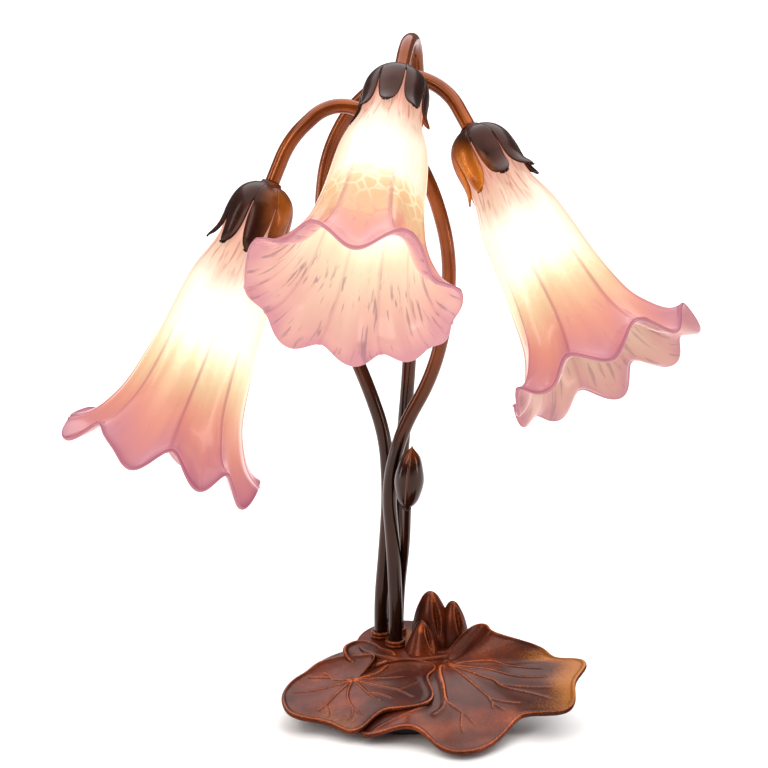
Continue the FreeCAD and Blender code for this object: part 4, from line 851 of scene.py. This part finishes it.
padLook = {
    "wall": 3.2, "ground": 5.0, "innerShare": 0.06, "bend": 1.7, "topRows": 76, "underRows": 10,
    "edgeRows": 6, "rimHeight": 0.8, "rimWidth": 1.3, "thin": 0.3,
    "veinHeight": 0.75, "veinWidth": 0.85, "foldHeight": 1.3, "foldWidth": 2.0,
    "waveHeight": 0.6, "waveLength": 13, "hubRing": 2.2, "hubRingHeight": 0.6,
    "left": {
        "hub": (-35.0, -18.0, 16.0), "columns": 700, "gildAim": (-0.2, -1.0), "gild": 0.45,
        "edge": [(25, 34, 19), (18, 48, 18), (-5, 49, 17), (-29, 58, 16), (-41, 64, 15), (-53, 58, 13),
                 (-67, 51, 11), (-78, 56, 8), (-88, 62, 4), (-100, 57, 4.5), (-114, 55, 6),
                 (-127, 61, 9), (-139, 57, 11), (-153, 49, 12), (-169, 39, 14), (-186, 31, 15),
                 (-208, 27, 17), (-235, 26, 17), (-262, 27, 17), (-288, 27, 18), (-306, 23, 18),
                 (-322, 9, 14)],
        "veins": [[(0, 0), (8, 4), (16, 7), (22, 11)], [(0, 0), (13, 2), (21, 1), (32, -1)],
                  [(0, 0), (11, -6), (21, -13), (29, -19), (38, -32)], [(29, -19), (36, -16), (40, -14)],
                  [(0, 0), (6, -12), (11, -23), (18, -32)], [(9, -19), (17, -22), (25, -30)],
                  [(0, 0), (-3, -18), (-2, -29), (1, -37), (7, -46)], [(0, -37), (0, -44), (-3, -49)],
                  [(0, 0), (-8, -15), (-13, -25), (-17, -34)], [(-17, -34), (-15, -39), (-15, -46)],
                  [(-17, -34), (-21, -40)], [(0, 0), (-9, -7), (-17, -12), (-27, -18), (-37, -21)],
                  [(0, 0), (-11, 0), (-14, 3), (-18, 6)], [(-14, 3), (-22, 1), (-28, -1)]],
        "folds": []},
    "right": {
        "hub": (25.0, -2.0, 22.0), "columns": 900, "gildAim": (0.86, -0.5), "gild": 1.0,
        "edge": [(44, 26, 35), (26, 30, 37), (4, 36, 35), (-5, 51, 33), (-13, 65, 31), (-19, 77, 30),
                 (-22, 89, 33), (-30, 97, 31), (-39, 101, 26), (-47, 105, 17), (-52, 88, 12),
                 (-58, 82, 9), (-67, 89, 5), (-77, 99, 1.5), (-86, 103, 1), (-94, 96, 2), (-101, 87, 7),
                 (-109, 87, 9), (-117, 92, 5), (-125, 94, 2), (-133, 76, 5), (-150, 40, 11),
                 (-190, 15, 16), (-250, 13, 19), (-294, 15, 25)],
        "veins": [[(2, -4), (10, -2), (18, -3), (31, -8), (39, -16), (48, -23), (60, -31)],
                  [(2, -4), (14, -9), (24, -14), (32, -21), (41, -30), (51, -37), (63, -43)],
                  [(2, -5), (15, -16), (23, -24), (30, -31), (34, -38), (43, -46), (53, -54), (63, -63)],
                  [(34, -37), (49, -46), (65, -55)],
                  [(2, -6), (11, -21), (18, -33), (23, -42), (27, -48), (33, -52), (45, -58)],
                  [(26, -46), (28, -53), (35, -61)], [(28, -53), (28, -58)],
                  [(-1, -6), (-4, -14), (-2, -34), (-1, -49), (5, -59), (11, -66), (16, -75)],
                  [(9, -63), (8, -75), (9, -84)]],
        "folds": [[(-4, -8), (-5, -20), (-3, -34), (-2, -47), (-3, -58), (-9, -67)],
                  [(-12, -56), (-15, -61), (-25, -68), (-41, -76), (-51, -83)]]},
    "small": {
        "hub": (-25.0, 11.0, 22.5), "columns": 200, "gildAim": (0, 1), "gild": 0.0,
        "edge": [(116, 16, 20.5), (88, 12, 20.5), (50, 9.5, 20), (15, 10.5, 19.5), (-24, 18, 18),
                 (-50, 12, 14), (-90, 10, 12), (-130, 12, 13), (-160, 15, 17), (-182, 16, 20),
                 (-220, 16, 20.5)],
        "veins": [], "folds": []}}


def lineRidge(points, chains, width, reach):
    # soft ridges along smooth lines through chains of plan points; away from the hub
    # they grow thinner and lower
    plan = points[..., :2]
    total = np.zeros(plan.shape[:2])
    for chain in chains:
        knots = np.arange(len(chain))
        at = np.linspace(0, len(chain) - 1, (len(chain) - 1) * 5 + 1)
        line = np.stack([splineThrough(knots, np.array(chain, float)[:, i], at) for i in (0, 1)], -1)
        for start, end in zip(line, line[1:]):
            run = end - start
            along = np.clip(((plan - start) @ run) / (run @ run), 0, 1)
            gap = np.linalg.norm(plan - start - along[..., None] * run, axis=-1)
            away = np.clip(np.linalg.norm(start) / reach, 0, 1)
            total = np.maximum(total, hump(gap, width * (1 - 0.35 * away)) * (1 - 0.5 * away))
    return total


def padSkin(part, turn, share):
    # a lily pad's top: hub plus share of the reach, risen towards the edge's height by
    # the bend power of the share; splines carry reach and edge height round the hub
    look = padLook[part]
    angle, reach, edge = np.array(look["edge"], float).T
    order = np.argsort(angle % 360)
    degrees = np.degrees(turn) % 360
    reachAt = splineThrough((angle % 360)[order], reach[order], degrees, 360)
    edgeAt = splineThrough((angle % 360)[order], edge[order], degrees, 360)
    hub = np.array(look["hub"])
    rise = (np.clip(share - padLook["innerShare"], 0, 1) / (1 - padLook["innerShare"])) ** padLook["bend"]
    height = rise * (padLook["ground"] + edgeAt - hub[2])
    x = share * reachAt * np.cos(turn)
    y = share * reachAt * np.sin(turn)
    return np.stack([x, y, height + 0 * x], -1), reachAt


def lilyPad(part):
    # top skin from the hub to the edge, a half round at the edge, and the underside; the
    # veins, folds, rolled rim and gentle waves are heights added to the top skin
    look = padLook
    own = look[part]
    turn = np.linspace(0, fullTurn, own["columns"], endpoint=False)[None, :]
    share = np.linspace(0.012, 1, look["topRows"])[:, None] ** 0.8
    top, reach = padSkin(part, turn, share)
    edgeGap = (1 - share) * reach
    fade = smooth(edgeGap, 0.8, 5.0)
    veins = lineRidge(top, own["veins"], look["veinWidth"], reach.max()) * fade
    folds = lineRidge(top, own["folds"], look["foldWidth"], 3 * reach.max()) * fade
    rim = hump(edgeGap - 0.9, look["rimWidth"])
    wave = ripple(top[..., 0] / look["waveLength"], top[..., 1] / look["waveLength"], 11)
    wave = wave * smooth(share, 0.1, 0.5) * smooth(edgeGap, 1, 9)
    hubRing = hump(np.linalg.norm(top[..., :2], axis=-1) - look["hubRing"], 1.1)
    top[..., 2] += (look["veinHeight"] * veins + look["foldHeight"] * folds + look["rimHeight"] * rim
                    + look["waveHeight"] * wave + look["hubRingHeight"] * hubRing)
    underShare = np.linspace(1, 0.012, look["underRows"])[:, None]
    under, _ = padSkin(part, turn, underShare)
    under[..., 2] -= look["wall"] * (1 - look["thin"] * smooth(underShare, 0.8, 1.0))
    first, last = top[-1], under[0]
    middle = (first + last) / 2
    half = (first - last) / 2
    outward = unit(np.stack([first[:, 0], first[:, 1], np.zeros(len(first))], -1))
    step = np.linspace(0, math.pi, look["edgeRows"] + 2)[1:-1, None, None]
    edge = middle + half * np.cos(step) + outward * np.sin(step) * look["wall"] / 4
    hub = np.array(own["hub"])
    points = np.concatenate([top, edge, under]) + hub
    e, u = len(edge), len(under)
    count = own["columns"]
    rubAndGlint = 0.8 * veins + 0.45 * folds + 0.75 * hump(edgeGap - 0.2, 0.8) + 0.5 * hubRing
    rubAndGlint = np.concatenate([np.clip(rubAndGlint, 0, 1), 0.4 * np.linspace(1, 0, e)[:, None] * np.ones((e, count)),
                          np.zeros((u, count))])
    aim = np.array(own["gildAim"], float)
    facing = unit(top[..., :2] + 1e-6) @ (aim / np.linalg.norm(aim))
    gild = own["gild"] * smooth(facing, 0.90, 1.0) * smooth(edgeGap, 34, 2)
    gild = np.concatenate([gild, np.zeros((e + u, count))])
    gridPiece("lilyPad_" + part, points, "lamp", castBronze,
              ["base_casting"] if part == "left" else (),
              ends=(hub + [0, 0, 0.3], hub - [0, 0, look["wall"]]), marks={"rubAndGlint": rubAndGlint, "gild": gild})


for part in ("left", "right", "small"):
    lilyPad(part)

platformLook = {
    "edge": [(-33, 22), (-31, 42), (-21, 58), (-8, 66), (8, 65), (22, 55), (35, 43), (43, 29), (40, 14),
             (28, 5), (14, 0), (0, -2), (-14, 2), (-26, 9)],
    "low": 5.0, "top": 24.0, "round": 2.5, "columns": 240, "middle": (2.0, 33.0)}


def platform():
    # a block with a smooth outline, upright walls and a rounded top edge
    look = platformLook
    knots = np.arange(len(look["edge"]))
    at = np.linspace(0, len(knots), look["columns"], endpoint=False)
    edge = np.stack([splineThrough(knots, np.array(look["edge"], float)[:, i], at, len(knots))
                     for i in (0, 1)], -1)
    middle = np.array(look["middle"])
    step = np.linspace(0, math.pi / 2, 8)
    inset = [0, 0, 0] + (look["round"] * (1 - np.cos(step))).tolist()
    height = [look["low"], 12.0, look["top"] - look["round"]] + (
        look["top"] - look["round"] + look["round"] * np.sin(step)).tolist()
    rows = []
    for into, high in zip(inset, height):
        away = unit(edge - middle)
        rows.append(np.column_stack([edge - away * into, np.full(len(edge), high)]))
    for share in np.linspace(0.92, 0.05, 24):
        rows.append(np.column_stack([middle + (edge - middle) * share, np.full(len(edge), look["top"])]))
    points = np.stack(rows)
    rubAndGlint = np.clip(0.35 * hump(np.arange(len(rows)) - 9.0, 2.0)[:, None]
                  + 0.25 * (ripple(points[..., 0] / 6, points[..., 1] / 6, 4) > 0.5), 0, 1)
    gildSpots = 0.7 * hump(np.linalg.norm(points[..., :2] - np.array([2.0, 40.0]), axis=-1), 12.0)
    gridPiece("padPlatform", points, "lamp", castBronze, (),
              ends=((*middle, look["low"]), (*middle, look["top"])),
              marks={"rubAndGlint": rubAndGlint, "gild": gildSpots * smooth(points[..., 2], 22, 24)})


platform()

moundLook = {"radius": 67.0, "low": 5.0, "edge": 2.0, "rise": 9.0, "rings": 30,
             "columns": 160}


def mound():
    # the casting's body over the plate: a short upright rim and a shallow dome
    look = moundLook
    ball = (look["radius"] ** 2 + look["rise"] ** 2) / (2 * look["rise"])
    out = np.linspace(1, 0.02, look["rings"]) * look["radius"]
    high = look["low"] + look["edge"] + np.sqrt(ball ** 2 - out ** 2) - (ball - look["rise"])
    outline = np.concatenate([[(look["radius"] * 0.05, look["low"])], [(look["radius"], look["low"])],
                              np.stack([out, high], -1)])
    rubAndGlint = np.zeros((len(outline), look["columns"]))
    turnedPiece("castMound", outline, (0, 0, 0), castBronze, (), look["columns"],
                {"rubAndGlint": rubAndGlint, "gild": rubAndGlint})


mound()
print("lily pads and platform made")


inletLook = {"place": (-8.0, 0.0, 12.5), "outer": 7.0, "bore": 4.0, "from": 60.0, "face": 68.0,
             "round": 0.5, "columns": 72}


def inletBoss():
    # a short ring turned about the line of the cord inlet, its outer corner eased
    look = inletLook
    outline = [(look["outer"], look["from"]), (look["outer"], look["face"] - look["round"]),
               (look["outer"] - look["round"], look["face"]), (look["bore"], look["face"]),
               (look["bore"], look["from"])]
    turn = np.linspace(0, fullTurn, look["columns"], endpoint=False)
    reach, along = np.array(outline).T[:, :, None]
    points = np.stack(np.broadcast_arrays(reach * np.cos(turn), along, reach * np.sin(turn)), -1)
    plain = np.zeros(points.shape[:2])
    gridPiece("cordInletBoss", points + np.array(look["place"]), "lamp", castBronze, (),
              loop=True, marks={"rubAndGlint": plain, "gild": plain})


inletBoss()
print("cord inlet made")


# floor, light and camera

studio = {
    "floor": "f4f3f2", "surround": 0.16, "floorSize": 7.0,
    # name: place (m), aim (m), size (m), watts, colour
    "lights": {
        "overheadSoftbox": ((0, 1.4, 2.3), (0, 1.4, 0), (4.2, 6.2), 215.0, "ffffff"),
        "frontSoftbox": ((-0.9, -1.3, 1.0), (0, 0, 0.2), (0.5, 0.9), 10.0, "fffaf4"),
        "rightStrip": ((1.1, -0.5, 0.5), (0, 0, 0.25), (0.12, 1.1), 5.0, "ffffff"),
        "leftStrip": ((-1.1, -0.1, 0.45), (0, 0, 0.2), (0.12, 1.1), 4.0, "ffffff")}}


def studioSet():
    # a pale floor, a plain surround and soft boxes for the long highlights
    half = studio["floorSize"] / 2
    mesh = bpy.data.meshes.new("studioFloor")
    mesh.from_pydata([(-half, -half, 0), (half, -half, 0), (half, half, 0), (-half, half, 0)], [],
                     [(0, 1, 2, 3)])
    floor = bpy.data.objects.new("studioFloor", mesh)
    bpy.context.scene.collection.objects.link(floor)
    material, tree, shader = newMaterial("matt studio paper")
    shader.inputs["Base Color"].default_value = colour(studio["floor"])
    shader.inputs["Roughness"].default_value = 0.9
    mesh.materials.append(material)
    world = bpy.data.worlds.new("studioWorld")
    bpy.context.scene.world = world
    world.use_nodes = True
    tree = world.node_tree
    # white where the camera sees it, and a dim grey for what the lamp reflects
    backdrop = tree.nodes["Background"]
    backdrop.inputs["Color"].default_value = colour("ffffff")
    dim = addNode(tree, "ShaderNodeBackground", {"Color": colour("ffffff"), "Strength": studio["surround"]})
    seen = addNode(tree, "ShaderNodeLightPath").outputs["Is Camera Ray"]
    mixed = addNode(tree, "ShaderNodeMixShader", links={0: seen})
    tree.links.new(dim.outputs[0], mixed.inputs[1])
    tree.links.new(backdrop.outputs[0], mixed.inputs[2])
    tree.links.new(mixed.outputs[0], tree.nodes["World Output"].inputs["Surface"])
    for name, (place, aim, extent, watts, tint) in studio["lights"].items():
        lamp = bpy.data.lights.new(name, "AREA")
        lamp.shape = "RECTANGLE"
        lamp.size, lamp.size_y = extent
        lamp.energy = watts
        lamp.color = colour(tint)[:3]
        box = bpy.data.objects.new(name, lamp)
        box.location = place
        box.rotation_euler = (Vector(aim) - Vector(place)).to_track_quat("-Z", "Y").to_euler()
        bpy.context.scene.collection.objects.link(box)


studioSet()

view = {"target": (-0.015, -0.003, 0.210), "distance": 1.7, "elevation": 17.0, "lens": 127.5}
eye = bpy.data.cameras.new("photoCamera")
eye.lens = view["lens"]
eye.sensor_width = 36.0
eye.clip_start = 0.05
camera = bpy.data.objects.new("photoCamera", eye)
rise = math.radians(view["elevation"])
camera.location = (view["target"][0], view["target"][1] - view["distance"] * math.cos(rise),
                   view["target"][2] + view["distance"] * math.sin(rise))
camera.rotation_euler = (math.pi / 2 - rise, 0, 0)
bpy.context.scene.collection.objects.link(camera)
bpy.context.scene.camera = camera
bpy.context.scene.view_settings.view_transform = "Standard"
